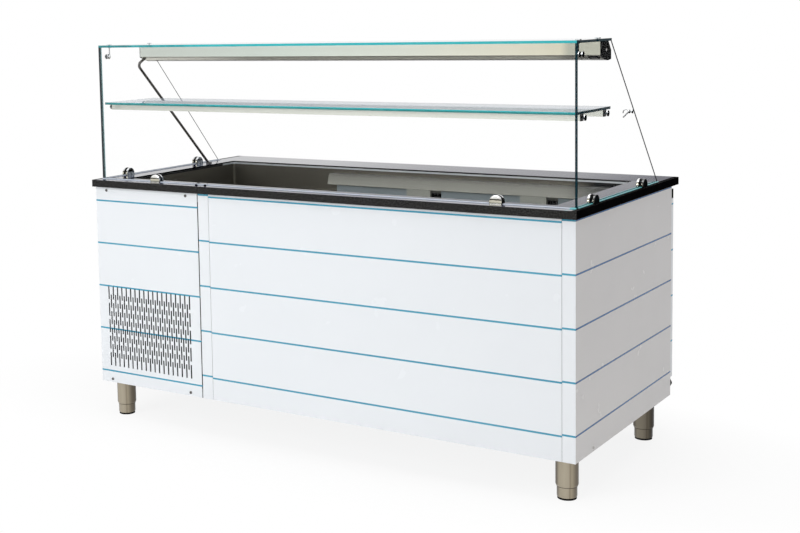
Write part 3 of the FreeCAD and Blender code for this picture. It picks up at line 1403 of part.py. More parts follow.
def light_housing():
    """Folded metal lamp body with its mouth, the switch pocket and the cable entry."""
    outer = prism(lamp_outline(-LAMP_END), V(2 * LAMP_END, 0, 0))
    hollow = lamp_inner_face(-LAMP_END - OVERRUN).extrude(V(2 * (LAMP_END + OVERRUN), 0, 0))
    y0, y1, low, high = lamp_mouth()
    mouth_end = LAMP_END - 2 * LAMP_SWITCH_INSET
    mouth = box(-mouth_end, mouth_end, y0, y1, low - OVERRUN, high)
    body = outer.cut(hollow).cut(mouth)
    body = body.fuse(place_on_lamp(switch_block())).cut(place_on_lamp(rocker_space()))
    route = conduit_route()
    way = (route[0] - route[1]).normalize()
    entry = rod(CONDUIT_RADIUS + CONDUIT_GAP, CONDUIT_KNEE_DROP, route[1] + way * CONDUIT_BEND, way)
    bolts = [
        rod(BOLT_RADIUS + HOLE_GAP, BOLT_LENGTH, housing_bolt_place(side) - Z_AXIS * BOLT_LENGTH, Z_AXIS)
        for side in SIDES
    ]
    return cut_all(body, [entry] + bolts)


def light_diffuser():
    """Opal strip that closes the lamp's mouth."""
    y0, y1, low, high = lamp_mouth()
    end = LAMP_END - 2 * LAMP_SWITCH_INSET - HOLE_GAP
    body = prism(lamp_outline(-end), V(2 * end, 0, 0))
    slab = box(-end, end, y0 + HOLE_GAP, y1 - HOLE_GAP, low - OVERRUN, low + LAMP_WALL + LAMP_WALL)
    return body.common(slab)


def light_tube():
    """Slim lamp tube in its two holders."""
    end = LAMP_END - 2 * LAMP_SWITCH_INSET
    middle = V(-end, LAMP_FRONT + LAMP_DEPTH * LAMP_TUBE_SHARE, TOP_PANE_BOTTOM - LAMP_TUBE_DROP)
    pieces = [rod(LAMP_TUBE_RADIUS, 2 * end, middle, X_AXIS)]
    half = LAMP_TUBE_RADIUS
    top = TOP_PANE_BOTTOM - LAMP_WALL
    for x in (-end, end - LAMP_HOLDER):
        pieces.append(
            box(x, x + LAMP_HOLDER, middle.y - half, middle.y + half, middle.z - half, top)
        )
    return join(pieces)


def housing_end_caps():
    """Black caps on the lamp's ends, each with a sunk screw seat."""
    caps = []
    for side in SIDES:
        plate = prism(lamp_outline(side * LAMP_END), X_AXIS * side * LAMP_CAP)
        seat = cap_screw_place(side)
        sink = rod(SCREW_HEAD_RADIUS + HOLE_GAP, LAMP_CAP, seat, X_AXIS * side)
        caps.append(cut_all(plate, [sink, screw_hole(seat, X_AXIS * side)]))
    return group(caps)


def conduit_route():
    """From the lamp, forward and down to the knee, then back and down into the granite."""
    x = -PANE_IN + CONDUIT_WALL_GAP
    top = V(x, LAMP_FRONT + CONDUIT_TOP_SETBACK, TOP_PANE_BOTTOM - LAMP_HEIGHT + CONDUIT_TOP_DROP)
    knee = V(x, LAMP_FRONT - CONDUIT_KNEE_FORWARD, TOP_PANE_BOTTOM - CONDUIT_KNEE_DROP)
    foot = V(-HALF_LENGTH + CONDUIT_FOOT_INSET, FRONT + CONDUIT_FOOT_DEPTH, WORKTOP_HEIGHT)
    way = (foot - knee).normalize()
    inside = foot + way * (SLAB_THICKNESS / 2)
    return [top, knee, inside]


def light_conduit():
    """Bent steel tube that brings the lamp's cable up from the cabinet."""
    return bent_rod(conduit_route(), CONDUIT_BEND, CONDUIT_RADIUS)


def conduit_ferrule():
    """Collar where the conduit enters the granite."""
    route = conduit_route()
    way = (route[-1] - route[-2]).normalize()
    foot = route[-1] - way * (SLAB_THICKNESS / 2)
    ring = rod(FERRULE_RADIUS, FERRULE_HEIGHT, foot, Z_AXIS)
    bore = rod(
        CONDUIT_RADIUS + CONDUIT_GAP, 3 * FERRULE_RADIUS, foot - way * (2 * FERRULE_RADIUS), way
    )
    return ring.cut(bore)


def hook_curl(start):
    """Thin wire that rises from the hook's disc, arches over the finger and comes down."""
    top = start - X_AXIS * (HOOK_CURL_REACH / 2) + Z_AXIS * HOOK_CURL_RISE
    tip = start - X_AXIS * HOOK_CURL_REACH - Z_AXIS * HOOK_CURL_DROP
    edge = Part.Arc(start, top, tip).toShape()
    ring = Part.Wire([Part.makeCircle(HOOK_WIRE_RADIUS, start, edge.tangentAt(edge.FirstParameter))])
    wire = Part.Wire([edge]).makePipeShell([ring], True, True)
    return join([wire, Part.makeSphere(HOOK_WIRE_RADIUS, tip)])


def glass_hook():
    """Two discs on the right pane, a sloping finger and a thin curl of wire over it."""
    place = hook_place()
    outer = rod(HOOK_RADIUS, HOOK_THICKNESS, place, X_AXIS)
    inner = rod(HOOK_RADIUS, HOOK_THICKNESS, place - X_AXIS * PANE, -X_AXIS)
    shank = rod(BOLT_RADIUS, PANE, place, -X_AXIS)
    start = place - X_AXIS * (PANE + HOOK_THICKNESS)
    slope = math.radians(HOOK_FINGER_SLOPE)
    way = -X_AXIS * math.cos(slope) - Z_AXIS * math.sin(slope)
    finger = rod(HOOK_FINGER_RADIUS, HOOK_FINGER_LENGTH, start, way)
    root = Part.makeSphere(HOOK_FINGER_RADIUS, start)
    tip = Part.makeSphere(HOOK_FINGER_RADIUS, start + way * HOOK_FINGER_LENGTH)
    return join([outer, inner, shank, root, finger, tip, hook_curl(start)])


def condensing_unit_tray():
    """Folded tray that carries the refrigeration unit."""
    y0, y1 = INNER_FRONT + TRAY_MARGIN, INNER_REAR - TRAY_MARGIN - ANGLE_LEG
    plate = box(TRAY_LEFT, TRAY_RIGHT, y0, y1, FRAME_DECK, TRAY_TOP)
    edges = [
        box(x, x + TRAY_SHEET, y0, y1, FRAME_DECK, TRAY_TOP + TRAY_FLANGE)
        for x in (TRAY_LEFT, TRAY_RIGHT - TRAY_SHEET)
    ]
    return join([plate] + edges)


def compressor():
    """Welded pot on four feet."""
    foot_z = TRAY_TOP
    pot_z = foot_z + COMPRESSOR_FOOT_HEIGHT
    middle = V(UNIT_X, COMPRESSOR_Y, pot_z)
    pot = rod(COMPRESSOR_RADIUS, COMPRESSOR_HEIGHT, middle, Z_AXIS)
    shoulder = middle + Z_AXIS * COMPRESSOR_HEIGHT
    dome = Part.makeCone(
        COMPRESSOR_RADIUS, COMPRESSOR_RADIUS / 2, COMPRESSOR_DOME, shoulder, Z_AXIS
    )
    spread = COMPRESSOR_FOOT_SPREAD
    margin = COMPRESSOR_FOOT_RADIUS
    plate = box(
        UNIT_X - spread - margin, UNIT_X + spread + margin,
        COMPRESSOR_Y - spread - margin, COMPRESSOR_Y + spread + margin, pot_z, pot_z + ANGLE_WALL,
    )
    pieces = [pot, dome, plate]
    for sx in SIDES:
        for sy in SIDES:
            start = V(UNIT_X + sx * spread, COMPRESSOR_Y + sy * spread, foot_z)
            pieces.append(rod(COMPRESSOR_FOOT_RADIUS, COMPRESSOR_FOOT_HEIGHT, start, Z_AXIS))
    return join(pieces)


def condenser_coil():
    """Finned heat exchanger behind the grille."""
    return finned_block(
        UNIT_X - CONDENSER_WIDTH / 2, UNIT_X + CONDENSER_WIDTH / 2,
        CONDENSER_FRONT, SHROUD_FRONT, TRAY_TOP, TRAY_TOP + CONDENSER_HEIGHT,
    )


def fan_shroud():
    """Box that guides the air into the fan, with the arms that carry the motor."""
    x0, x1 = UNIT_X - CONDENSER_WIDTH / 2, UNIT_X + CONDENSER_WIDTH / 2
    z0, z1 = TRAY_TOP, TRAY_TOP + CONDENSER_HEIGHT
    block = box(x0, x1, SHROUD_FRONT, SHROUD_REAR, z0, z1)
    throat = rod(
        FAN_RADIUS + FAN_TIP_GAP, SHROUD_DEPTH + 2 * OVERRUN,
        V(UNIT_X, SHROUD_FRONT - OVERRUN, FAN_Z), Y_AXIS,
    )
    ring = block.cut(throat)
    reach = FAN_RADIUS + FAN_TIP_GAP + ARM_WIDTH
    arm = box(
        UNIT_X - reach, UNIT_X + reach, SHROUD_REAR, ARM_REAR,
        FAN_Z - ARM_WIDTH / 2, FAN_Z + ARM_WIDTH / 2,
    )
    arms = []
    for k in range(3):
        turned = arm.copy()
        turned.rotate(V(UNIT_X, 0, FAN_Z), Y_AXIS, 60 * k)
        arms.append(turned)
    seat = rod(MOTOR_RADIUS, ARM_THICKNESS, V(UNIT_X, SHROUD_REAR, FAN_Z), Y_AXIS)
    shaft = rod(
        FAN_SHAFT_RADIUS + HOLE_GAP, ARM_THICKNESS + 2 * OVERRUN,
        V(UNIT_X, SHROUD_REAR - OVERRUN, FAN_Z), Y_AXIS,
    )
    return join([ring, seat] + arms).cut(shaft)


def fan_motor():
    """Motor behind the arms, with its shaft through them."""
    body = rod(MOTOR_RADIUS, MOTOR_LENGTH, V(UNIT_X, ARM_REAR, FAN_Z), Y_AXIS)
    length = ARM_REAR - FAN_HUB_REAR + FAN_HUB_DEPTH
    shaft = rod(FAN_SHAFT_RADIUS, length, V(UNIT_X, ARM_REAR, FAN_Z), -Y_AXIS)
    return join([body, shaft])


def condenser_fan():
    """Hub and pitched blades."""
    front = FAN_HUB_REAR - FAN_HUB_DEPTH
    hub = rod(FAN_HUB_RADIUS, FAN_HUB_DEPTH, V(UNIT_X, front, FAN_Z), Y_AXIS)
    pieces = [hub]
    middle_y = (front + FAN_HUB_REAR) / 2
    root = FAN_HUB_RADIUS - FAN_TIP_GAP
    for k in range(FAN_BLADES):
        blade = box(
            -FAN_BLADE_WIDTH / 2, FAN_BLADE_WIDTH / 2,
            -FAN_BLADE_THICKNESS / 2, FAN_BLADE_THICKNESS / 2, root, FAN_RADIUS - FAN_TIP_GAP,
        )
        blade.rotate(V(0, 0, 0), Z_AXIS, FAN_BLADE_PITCH)
        blade.rotate(V(0, 0, 0), Y_AXIS, 360 / FAN_BLADES * k)
        blade.translate(V(UNIT_X, middle_y, FAN_Z))
        pieces.append(blade)
    bore = rod(
        FAN_SHAFT_RADIUS + RUN_GAP, FAN_HUB_DEPTH + 2 * OVERRUN,
        V(UNIT_X, front - OVERRUN, FAN_Z), Y_AXIS,
    )
    return join(pieces).cut(bore)


def refrigerant_pipes():
    """Discharge line with its drier to the condenser, suction line up to the well."""
    top = TRAY_TOP + COMPRESSOR_FOOT_HEIGHT + COMPRESSOR_HEIGHT + COMPRESSOR_DOME
    coil_top = TRAY_TOP + CONDENSER_HEIGHT
    over = (coil_top + FOAM_BOTTOM) / 2
    coil_y = SHROUD_FRONT - COIL_SPINE / 2
    right = UNIT_X + CONDENSER_WIDTH / 2 - COMPRESSOR_FOOT_RADIUS
    route = [
        V(UNIT_X + PIPE_SPREAD, COMPRESSOR_Y, top),
        V(UNIT_X + PIPE_SPREAD, COMPRESSOR_Y, over),
        V(right, coil_y, over),
        V(right, coil_y, coil_top),
    ]
    discharge = bent_rod(route, PIPE_BEND, PIPE_RADIUS)
    way = (route[2] - route[1]).normalize()
    middle = (route[1] + route[2]) * (1 / 2)
    drier = rod(DRIER_RADIUS, DRIER_LENGTH, middle - way * (DRIER_LENGTH / 2), way)
    low = top + PIPE_SPREAD * 2
    back = WELL_REAR - PIPE_SPREAD
    suction = bent_rod(
        [
            V(UNIT_X - PIPE_SPREAD, COMPRESSOR_Y, top),
            V(UNIT_X - PIPE_SPREAD, COMPRESSOR_Y, low),
            V(UNIT_X - PIPE_SPREAD, back, low),
            V(UNIT_X - PIPE_SPREAD, back, FOAM_BOTTOM),
        ],
        PIPE_BEND,
        PIPE_RADIUS,
    )
    return group([join([discharge, drier]), suction])


def light_switch():
    """Rocker on the lamp."""
    return place_on_lamp(rocker())


def power_switch():
    """Rocker on the rear fascia."""
    return place_on_fascia(rocker())


PARTS = {
    "chassis_frame": chassis_frame,
    "floor_panel": floor_panel,
    "leg_sleeves": leg_sleeves,
    "left_side_panel": left_side_panel,
    "right_side_panel": right_side_panel,
    "machine_front_panel": machine_front_panel,
    "front_post_strip": front_post_strip,
    "front_main_panel": front_main_panel,
    "pan_head_screws": pan_head_screws,
    "rear_face_frame": rear_face_frame,
    "rear_service_panel": rear_service_panel,
    "control_fascia": control_fascia,
    "thermostat_knob": thermostat_knob,
    "power_switch": power_switch,
    "storage_insulation": storage_insulation,
    "storage_liner": storage_liner,
    "wire_shelves": wire_shelves,
    "left_door": lambda: door(-1),
    "right_door": lambda: door(1),
    "left_door_gasket": lambda: door_gasket(-1),
    "right_door_gasket": lambda: door_gasket(1),
    "hinge_brackets": hinge_brackets,
    "worktop": worktop,
    "well_basin": well_basin,
    "well_insulation": well_insulation,
    "air_duct_cover": air_duct_cover,
    "duct_brackets": duct_brackets,
    "evaporator_coil": evaporator_coil,
    "drain_valve": drain_valve,
    "drain_lever": drain_lever,
    "front_glass": front_glass,
    "left_side_glass": lambda: side_glass(-1),
    "right_side_glass": lambda: side_glass(1),
    "top_glass": top_glass,
    "shelf_glass": shelf_glass,
    "shelf_rails": shelf_rails,
    "rail_end_plugs": rail_end_plugs,
    "glass_bolts": glass_bolts,
    "glass_clamps": glass_clamps,
    "clamp_pads": clamp_pads,
    "corner_connectors": corner_connectors,
    "light_housing": light_housing,
    "light_diffuser": light_diffuser,
    "light_tube": light_tube,
    "housing_end_caps": housing_end_caps,
    "light_switch": light_switch,
    "light_conduit": light_conduit,
    "conduit_ferrule": conduit_ferrule,
    "glass_hook": glass_hook,
    "condensing_unit_tray": condensing_unit_tray,
    "compressor": compressor,
    "condenser_coil": condenser_coil,
    "fan_shroud": fan_shroud,
    "fan_motor": fan_motor,
    "condenser_fan": condenser_fan,
    "refrigerant_pipes": refrigerant_pipes,
}


def main():
    """Writes one file per sub-part."""
    os.makedirs("parts", exist_ok=True)
    shapes = {name: make() for name, make in PARTS.items()}
    for corner, place in leg_places().items():
        shapes["foot_" + corner] = levelling_foot(place)
    for name, shape in shapes.items():
        shape.exportStep(os.path.join("parts", name + ".step"))
        if not shape.isValid():
            print("not valid:", name)
    print(len(shapes), "parts")


main()
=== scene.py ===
"""Looks of a refrigerated salad bar counter, built round its packed solids.

Laid out as an add-on: settings, one operator for each piece or finish group, and a sidebar panel.
Everything is in metres, in the frame of the solids: X along the counter, Y towards the operator,
Z up, with the floor at zero.
"""

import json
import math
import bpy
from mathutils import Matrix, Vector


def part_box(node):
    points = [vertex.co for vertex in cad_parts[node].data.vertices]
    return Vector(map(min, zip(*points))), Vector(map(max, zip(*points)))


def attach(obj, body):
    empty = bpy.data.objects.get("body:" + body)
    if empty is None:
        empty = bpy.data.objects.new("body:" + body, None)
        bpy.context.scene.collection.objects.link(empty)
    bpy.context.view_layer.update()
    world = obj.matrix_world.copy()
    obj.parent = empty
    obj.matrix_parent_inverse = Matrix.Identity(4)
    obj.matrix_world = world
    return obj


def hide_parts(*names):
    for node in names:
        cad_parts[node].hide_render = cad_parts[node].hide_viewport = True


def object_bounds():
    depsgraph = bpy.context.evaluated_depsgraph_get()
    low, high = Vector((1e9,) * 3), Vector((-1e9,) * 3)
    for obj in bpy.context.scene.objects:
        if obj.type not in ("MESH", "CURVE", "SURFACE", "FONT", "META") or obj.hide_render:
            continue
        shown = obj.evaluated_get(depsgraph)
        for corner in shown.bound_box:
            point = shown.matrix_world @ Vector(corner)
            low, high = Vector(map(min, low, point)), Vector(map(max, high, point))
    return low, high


bl_info = {
    "name": "Salad bar counter",
    "version": (1, 0, 0),
    "blender": (4, 5, 0),
    "location": "View3D > Sidebar > Counter",
    "description": "Finishes and fine pieces of a refrigerated salad bar counter",
    "category": "Object",
}

from collections import namedtuple

import bmesh
import bpy
from mathutils import Matrix, Vector

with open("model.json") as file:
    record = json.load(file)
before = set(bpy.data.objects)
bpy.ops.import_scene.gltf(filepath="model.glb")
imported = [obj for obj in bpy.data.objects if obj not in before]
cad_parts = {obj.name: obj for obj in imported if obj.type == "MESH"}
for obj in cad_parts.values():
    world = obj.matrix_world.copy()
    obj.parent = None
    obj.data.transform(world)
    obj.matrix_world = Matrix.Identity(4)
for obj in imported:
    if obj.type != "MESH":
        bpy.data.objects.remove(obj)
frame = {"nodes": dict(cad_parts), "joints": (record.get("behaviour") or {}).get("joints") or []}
CAD_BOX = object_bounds()
NODES = frame["nodes"]
MM = 0.001
MERGE = 1e-6
BASE = "counter"
PHOTO_WIDTH = 800
FEET = ("front_left", "front_right", "rear_left", "rear_right")
SIDES = (-1, 1)

# Places where a finish, or the light and shade painted on it, changes: along the counter

SHEEN_REACH = 0.9
LEFT_CORNER = -0.85
LEFT_END = -0.5
LEFT_BRIGHT = -0.4
UNDER_HOOD = -0.1
RIGHT_END = 0.5
DARK_CORNER = 0.6
WALL_DARK = 0.69
HOOD_DARK = 0.72
STONE_DARK = 0.85
PAST_RIGHT_PANE = 0.88
BESIDE_RIGHT_PANE = 0.8825
OUTER_CLAMPS = 0.899

# Across it

FRONT_STRIP = -0.409
FRONT_EDGES = -0.25
REAR_WALL = 0.2
REAR_STRIP = 0.28

# And upwards

PLATE_TOP = 0.8048
HOOD_FOOT = 0.8063
HOOD_RISE = 0.039
# Below this the stone's front edge is painted in shade
STONE_FOOT = 0.8425
RIM_FOOT = 0.8592
OVER_SHELF = 1.3
TOP_PANE = 1.3495

# Small sizes of such marks

PANE_HALF = 0.004
CORE_SHIFT = 0.0026
CORE_HALF = 0.0013
BESIDE_HALF = 0.0055
SEAM_HALF = 0.0022


def tone(red, edge_glow, blue):
    """A colour given as it shows on a screen, 0 to 255, as the shader's linear values."""
    values = []
    for part in (red, edge_glow, blue):
        part /= 255
        values.append(part / 12.92 if part <= 0.04045 else ((part + 0.055) / 1.055) ** 2.4)
    return tuple(values)


def grey(level):
    """An even grey of a linear level."""
    return (level, level, level)


def dimmed(color, share):
    """A share of a colour's light."""
    return tuple(part * share for part in color)


# Shader building

Parts = namedtuple("Parts", "x y z")


class Value:
    """A shader socket that takes part in sums and products."""

    def __init__(self, nodes, socket):
        self.nodes = nodes
        self.socket = socket

    def combine(self, operation, *values):
        return self.nodes.node(
            "ShaderNodeMath", 0, {"operation": operation}, dict(enumerate(values))
        )

    def __add__(self, other):
        return self.combine("ADD", self, other)

    def __radd__(self, other):
        return self.combine("ADD", other, self)

    def __sub__(self, other):
        return self.combine("SUBTRACT", self, other)

    def __rsub__(self, other):
        return self.combine("SUBTRACT", other, self)

    def __mul__(self, other):
        return self.combine("MULTIPLY", self, other)

    def __rmul__(self, other):
        return self.combine("MULTIPLY", other, self)

    def __truediv__(self, other):
        return self.combine("DIVIDE", self, other)

    def __pow__(self, other):
        return self.combine("POWER", self, other)

    def __gt__(self, other):
        return self.combine("GREATER_THAN", self, other)

    def __lt__(self, other):
        return self.combine("LESS_THAN", self, other)

    def __abs__(self):
        return self.combine("ABSOLUTE", self)

    def least(self, other):
        return self.combine("MINIMUM", self, other)

    def most(self, other):
        return self.combine("MAXIMUM", self, other)

    def sine(self):
        return self.combine("SINE", self)

    def near(self, level, reach):
        """1 within reach of the level, else 0."""
        return self.combine("COMPARE", self, level, reach)

    def rise(self, start, end):
        """0 up to the start, 1 past the end, and a straight climb between them."""
        return ((self - start) / (end - start)).least(1.0).most(0.0)

    def between(self, low, high):
        """Runs from low to high as this runs from 0 to 1."""
        return self * (high - low) + low

    def ramp(self, *stops):
        """Colours that follow this; each stop is a place and a colour."""
        return self.nodes.node("ShaderNodeValToRGB", 0, {"stops": stops}, {0: self})


class Nodes:
    """One node tree, with a single way to add a node."""

    def __init__(self, tree):
        self.tree = tree
        tree.nodes.clear()

    def node(self, kind, output, settings, sockets):
        """Adds a node, sets it up, then fills its sockets with numbers, colours or links."""
        made = self.tree.nodes.new(kind)
        for name, value in settings.items():
            if name == "stops":
                self.fill_ramp(made.color_ramp, value)
            else:
                setattr(made, name, value)
        for name, value in sockets.items():
            socket = made.inputs[name]
            if isinstance(value, Value):
                self.tree.links.new(value.socket, socket)
            elif socket.type == "RGBA":
                socket.default_value = (*value, 1.0)
            else:
                socket.default_value = value
        return Value(self, made.outputs[output]) if output is not None else None

    def fill_ramp(self, ramp, stops):
        """Places the stops of a ramp, which starts out with two."""
        for element, (place, color) in zip(ramp.elements, (stops[0], stops[-1])):
            element.position = place
            element.color = (*color, 1.0)
        for place, color in stops[1:-1]:
            ramp.elements.new(place).color = (*color, 1.0)

    def mix(self, factor, first, second):
        """Blends two colours."""
        return self.node(
            "ShaderNodeMix", 2, {"data_type": "RGBA"}, {0: factor, 6: first, 7: second}
        )

    def coordinates(self):
        return self.node("ShaderNodeTexCoord", "Object", {}, {})

    def apart(self, vector):
        """The three numbers of a vector."""
        outputs = self.node("ShaderNodeSeparateXYZ", 0, {}, {0: vector}).socket.node.outputs
        return Parts(*(Value(self, output) for output in outputs))

    def place(self):
        """Where the surface is."""
        return self.apart(self.coordinates())

    def facing(self):
        """Which way the surface faces."""
        return self.apart(self.node("ShaderNodeTexCoord", "Normal", {}, {}))

    def stretched(self, scale):
        """Object coordinates, scaled along each axis."""
        sockets = {"Vector": self.coordinates(), "Scale": scale}
        return self.node("ShaderNodeMapping", 0, {}, sockets)

    def noise(self, scale, detail=2.0, stretch=None, rough=0.5):
        """Soft noise from 0 to 1."""
        place = self.stretched(stretch) if stretch else self.coordinates()
        return self.node(
            "ShaderNodeTexNoise", "Fac", {},
            {"Vector": place, "Scale": scale, "Detail": detail, "Roughness": rough},
        )

    def brush(self, *stretch):
        """Fine lines left by brushing, along the axis that is stretched least."""
        return self.noise(1.0, 3.0, stretch, 0.6)

    def cells(self, scale, output="Distance"):
        """Irregular cells: distance from each centre, or a random colour for each."""
        return self.node(
            "ShaderNodeTexVoronoi", output, {}, {"Vector": self.coordinates(), "Scale": scale}
        )

    def bump(self, height, strength=0.05, distance=0.0004):
        """Relief, by default as shallow as brushed steel's."""
        return self.node(
            "ShaderNodeBump", 0, {},
            {"Height": height, "Strength": strength, "Distance": distance},
        )


def socket_name(key):
    """A shader socket's name from a keyword such as base_color."""
    return key.replace("_", " ").title().replace("Ior", "IOR")


class Finish(Nodes):
    """A material with one principled shader."""

    def __init__(self, name, **constants):
        self.material = bpy.data.materials.new(name)
        self.material.use_nodes = True
        super().__init__(self.material.node_tree)
        sockets = {socket_name(key): value for key, value in constants.items()}
        self.shader = self.node("ShaderNodeBsdfPrincipled", 0, {}, sockets)
        self.node("ShaderNodeOutputMaterial", None, {}, {0: self.shader})

    def wear(self, **links):
        """Links the things that change over the surface."""
        inputs = self.shader.socket.node.inputs
        for key, value in links.items():
            self.tree.links.new(value.socket, inputs[socket_name(key)])
        return self.material


def paint(material, *names):
    """Gives CAD nodes or new pieces a material in every slot."""
    for name in names:
        target = NODES.get(name) or bpy.data.objects[name]
        slots = target.data.materials
        if not slots:
            slots.append(material)
        for index in range(len(slots)):
            slots[index] = material


# Finishes


def filmed_panel(node, heights, looks):
    """White sheet under film with thin blue lines at the given heights, in millimetres; painted
    shade on the end faces and in the machine panel's slots.
    """
    made = Finish("film_" + node, roughness=0.24, specular_ior_level=0.3)
    height = made.place().z
    facing = made.facing()
    lines = sum(height.near(level * MM, looks.stripe_width / 2) for level in heights)
    cloud = made.noise(1.6, 3.0)
    wear_and_painted_light = made.noise(9.0, 2.0, (0.3, 0.3, 6.0))
    white = made.mix(cloud, looks.panel_shade, looks.panel_white)
    blue = made.mix(wear_and_painted_light, tone(52, 144, 176), looks.stripe_blue)
    # The end panels' faces turned along X, and their blue lines, are darker: painted shade
    if node in ("left_side_panel", "right_side_panel"):
        shaded_end = abs(facing.x) > 0.5
        white = made.mix(shaded_end, white, made.mix(cloud, looks.side_shade, looks.side_white))
        blue = made.mix(shaded_end, blue, made.mix(wear_and_painted_light, tone(16, 72, 128), tone(34, 104, 164)))
    if node == "machine_front_panel":
        # Painted shade on the cut edges of the slots, with scattered patches of painted light
        stray_light = made.noise(11.0).rise(0.6, 0.7111)
        slot_shade = made.mix(stray_light, tone(10, 11, 12), tone(120, 120, 122))
        white = made.mix(abs(facing.y) < 0.5, white, slot_shade)
    return made.wear(
        base_color=made.mix(lines, white, blue),
        roughness=made.noise(14.0, 3.0).between(0.17, 0.32),
        normal=made.bump(made.noise(3.2, 2.0, (1.0, 1.0, 0.45)), 0.12, 0.02),
    )


def granite(looks):
    """Black stone with fine pale grains, polished on top, its colour carrying painted reflections,
    a painted glow, painted light on the front and painted shade.
    """
    made = Finish("black_granite", specular_ior_level=0.0, coat_roughness=0.04)
    place, facing = made.place(), made.facing()
    top, front = facing.z > 0.7, facing.y < -0.7
    canopied = abs(place.x) < looks.pane_middle + PANE_HALF
    strip = (place.y < FRONT_STRIP) * place.x.rise(LEFT_END, RIGHT_END)

    grains = made.apart(made.cells(620.0, "Color"))
    fleck = (grains.x > looks.fleck_level) * grains.y.between(0.25, 1.0)
    patch = made.noise(320.0, rough=0.7).rise(0.56, 0.7029)
    drift = made.noise(24.0, 3.0).rise(0.42, 0.67)
    # Painted shade: the flecks fade on the right end, and partly on the front, which takes its own
    # even tone
    fleck_shade = 1 - (facing.x > 0.5).most(front * 0.8) * 0.9
    dark = made.mix(made.noise(60.0, 4.0), tone(4, 4, 5), looks.stone_dark)
    # Painted light: an even lighter tone on the front edge, with painted shade along its foot
    speck = made.noise(240.0, 3.0, rough=0.8).rise(0.3889, 0.6111)
    even = made.mix(speck, tone(10, 10, 10), tone(60, 59, 58))
    even = made.mix(place.z < STONE_FOOT, even, tone(8, 8, 8))
    grain = (fleck * 0.6 + patch * drift).least(1.0)
    stone = made.mix(grain * fleck_shade, made.mix(front, dark, even), looks.stone_fleck)
    # Painted reflection on the polished top: lilac on the strip in front of the front pane, bluish
    # under the canopy
    stone = made.mix(top * canopied * strip, stone, tone(88, 88, 96))
    stone = made.mix(top * canopied * 0.8, stone, tone(32, 34, 66))
    # A painted cyan glow on the top along the foot of the right pane
    pane_glow = top * place.x.near(BESIDE_RIGHT_PANE, BESIDE_HALF) * (place.y < REAR_STRIP)
    stone = made.mix(pane_glow, stone, tone(39, 111, 124))

    # Painted reflection strength: the coat weakens towards the right and at the rear right corner,
    # and is raised along the strip in front of the front pane
    sheen = place.x.rise(-SHEEN_REACH, SHEEN_REACH).ramp(
        (0.0, grey(1.0)), (0.25, grey(1.0)), (0.5, grey(0.76)), (0.86, grey(0.62)),
        (0.95, grey(0.56)), (1.0, grey(0.52)),
    )
    rear_right = (place.y > REAR_STRIP) * place.x.rise(DARK_CORNER, STONE_DARK)
    sheen = (sheen * (1 - rear_right * 0.35)).most(strip)
    return made.wear(
        base_color=stone,
        roughness=fleck.between(0.1, 0.25),
        coat_weight=top * (canopied * sheen + 0.02) + front * 0.15,
        normal=made.bump(made.noise(90.0), 0.02, 0.0008),
    )


def brushed(name, color, along, low=0.22, high=0.40, metallic=1.0):
    """Brushed sheet; along is the axis of the brush lines."""
    made = Finish(name, metallic=metallic)
    lines = made.brush(*(4.0 if axis == along else 260.0 for axis in "XYZ"))
    patches = made.noise(5.0)
    return made.wear(
        base_color=made.mix(lines * 0.5 + patches * 0.5, dimmed(color, 0.82), color),
        roughness=(lines * 0.6 + patches * 0.4).between(low, high),
        normal=made.bump(lines),
    )


def well_sheet():
    """Brushed tub of the well, with painted shade on its rear wall, a painted glow under the duct
    and a painted highlight on its folded rim.
    """
    made = Finish("well_sheet", metallic=0.9, emission_strength=1.0)
    place = made.place()
    rear = place.y > REAR_WALL
    lines = made.brush(6.0, 6.0, 260.0)
    patches = made.noise(4.0)
    walls = made.mix(lines * 0.5 + patches * 0.5, tone(92, 90, 82), tone(122, 119, 110))
    # Painted shade: the rear wall turns near black towards the right
    walls = made.mix(place.x.rise(DARK_CORNER, WALL_DARK) * rear, walls, tone(8, 9, 9))
    # Painted highlight on the rear rim, painted shade on the rest of the rim
    rim = made.mix(lines, tone(206, 214, 220), tone(236, 240, 242))
    rim = made.mix(rear, tone(44, 44, 45), rim)
    # Painted light: the rear wall under the duct glows to lift it out of its shade
    painted_glow_under_duct = rear * (place.x > UNDER_HOOD) * (place.z < HOOD_FOOT)
    lift = made.mix(lines, tone(46, 47, 45), tone(62, 63, 60))
    return made.wear(
        base_color=made.mix(place.z > RIM_FOOT, walls, rim),
        emission_color=made.mix(painted_glow_under_duct, grey(0.0), lift),
        roughness=(lines * 0.6 + patches * 0.4).between(0.25, 0.42),
        normal=made.bump(lines),
    )


def duct_sheet():
    """Duct cover: greyish hood with painted shade towards its top, at its right end and on its
    upper faces, and a pale blue-grey plate under it.
    """
    made = Finish("duct_sheet", metallic=0.35)
    place = made.place()
    lines = made.brush(5.0, 260.0, 260.0)
    # Painted shade: the hood darkens towards its top
    hood = ((place.z - HOOD_FOOT) / HOOD_RISE).ramp(
        (0.0, tone(136, 137, 129)), (0.1, tone(120, 121, 114)), (0.75, tone(108, 109, 102)),
        (1.0, tone(82, 82, 76)),
    )
    hood = made.mix(lines * 0.35, hood, tone(96, 96, 90))
    # Painted shade towards the right end
    hood = made.mix(place.x.rise(DARK_CORNER, HOOD_DARK) * 0.85, hood, tone(20, 22, 21))
    plate = made.mix(lines, tone(132, 144, 150), tone(152, 164, 170))
    color = made.mix(place.z < PLATE_TOP, hood, plate)
    return made.wear(
        # Painted shade on the faces turned upwards
        base_color=made.mix(made.facing().z > 0.7, color, tone(58, 58, 54)),
        roughness=lines.between(0.34, 0.5),
        normal=made.bump(lines),
    )


def polished(name, color, low=0.04, high=0.14):
    """Bright tube with faint smears."""
    made = Finish(name, metallic=1.0)
    smear = made.noise(35.0, 3.0)
    return made.wear(
        base_color=made.mix(smear, dimmed(color, 0.9), color), roughness=smear.between(low, high)
    )


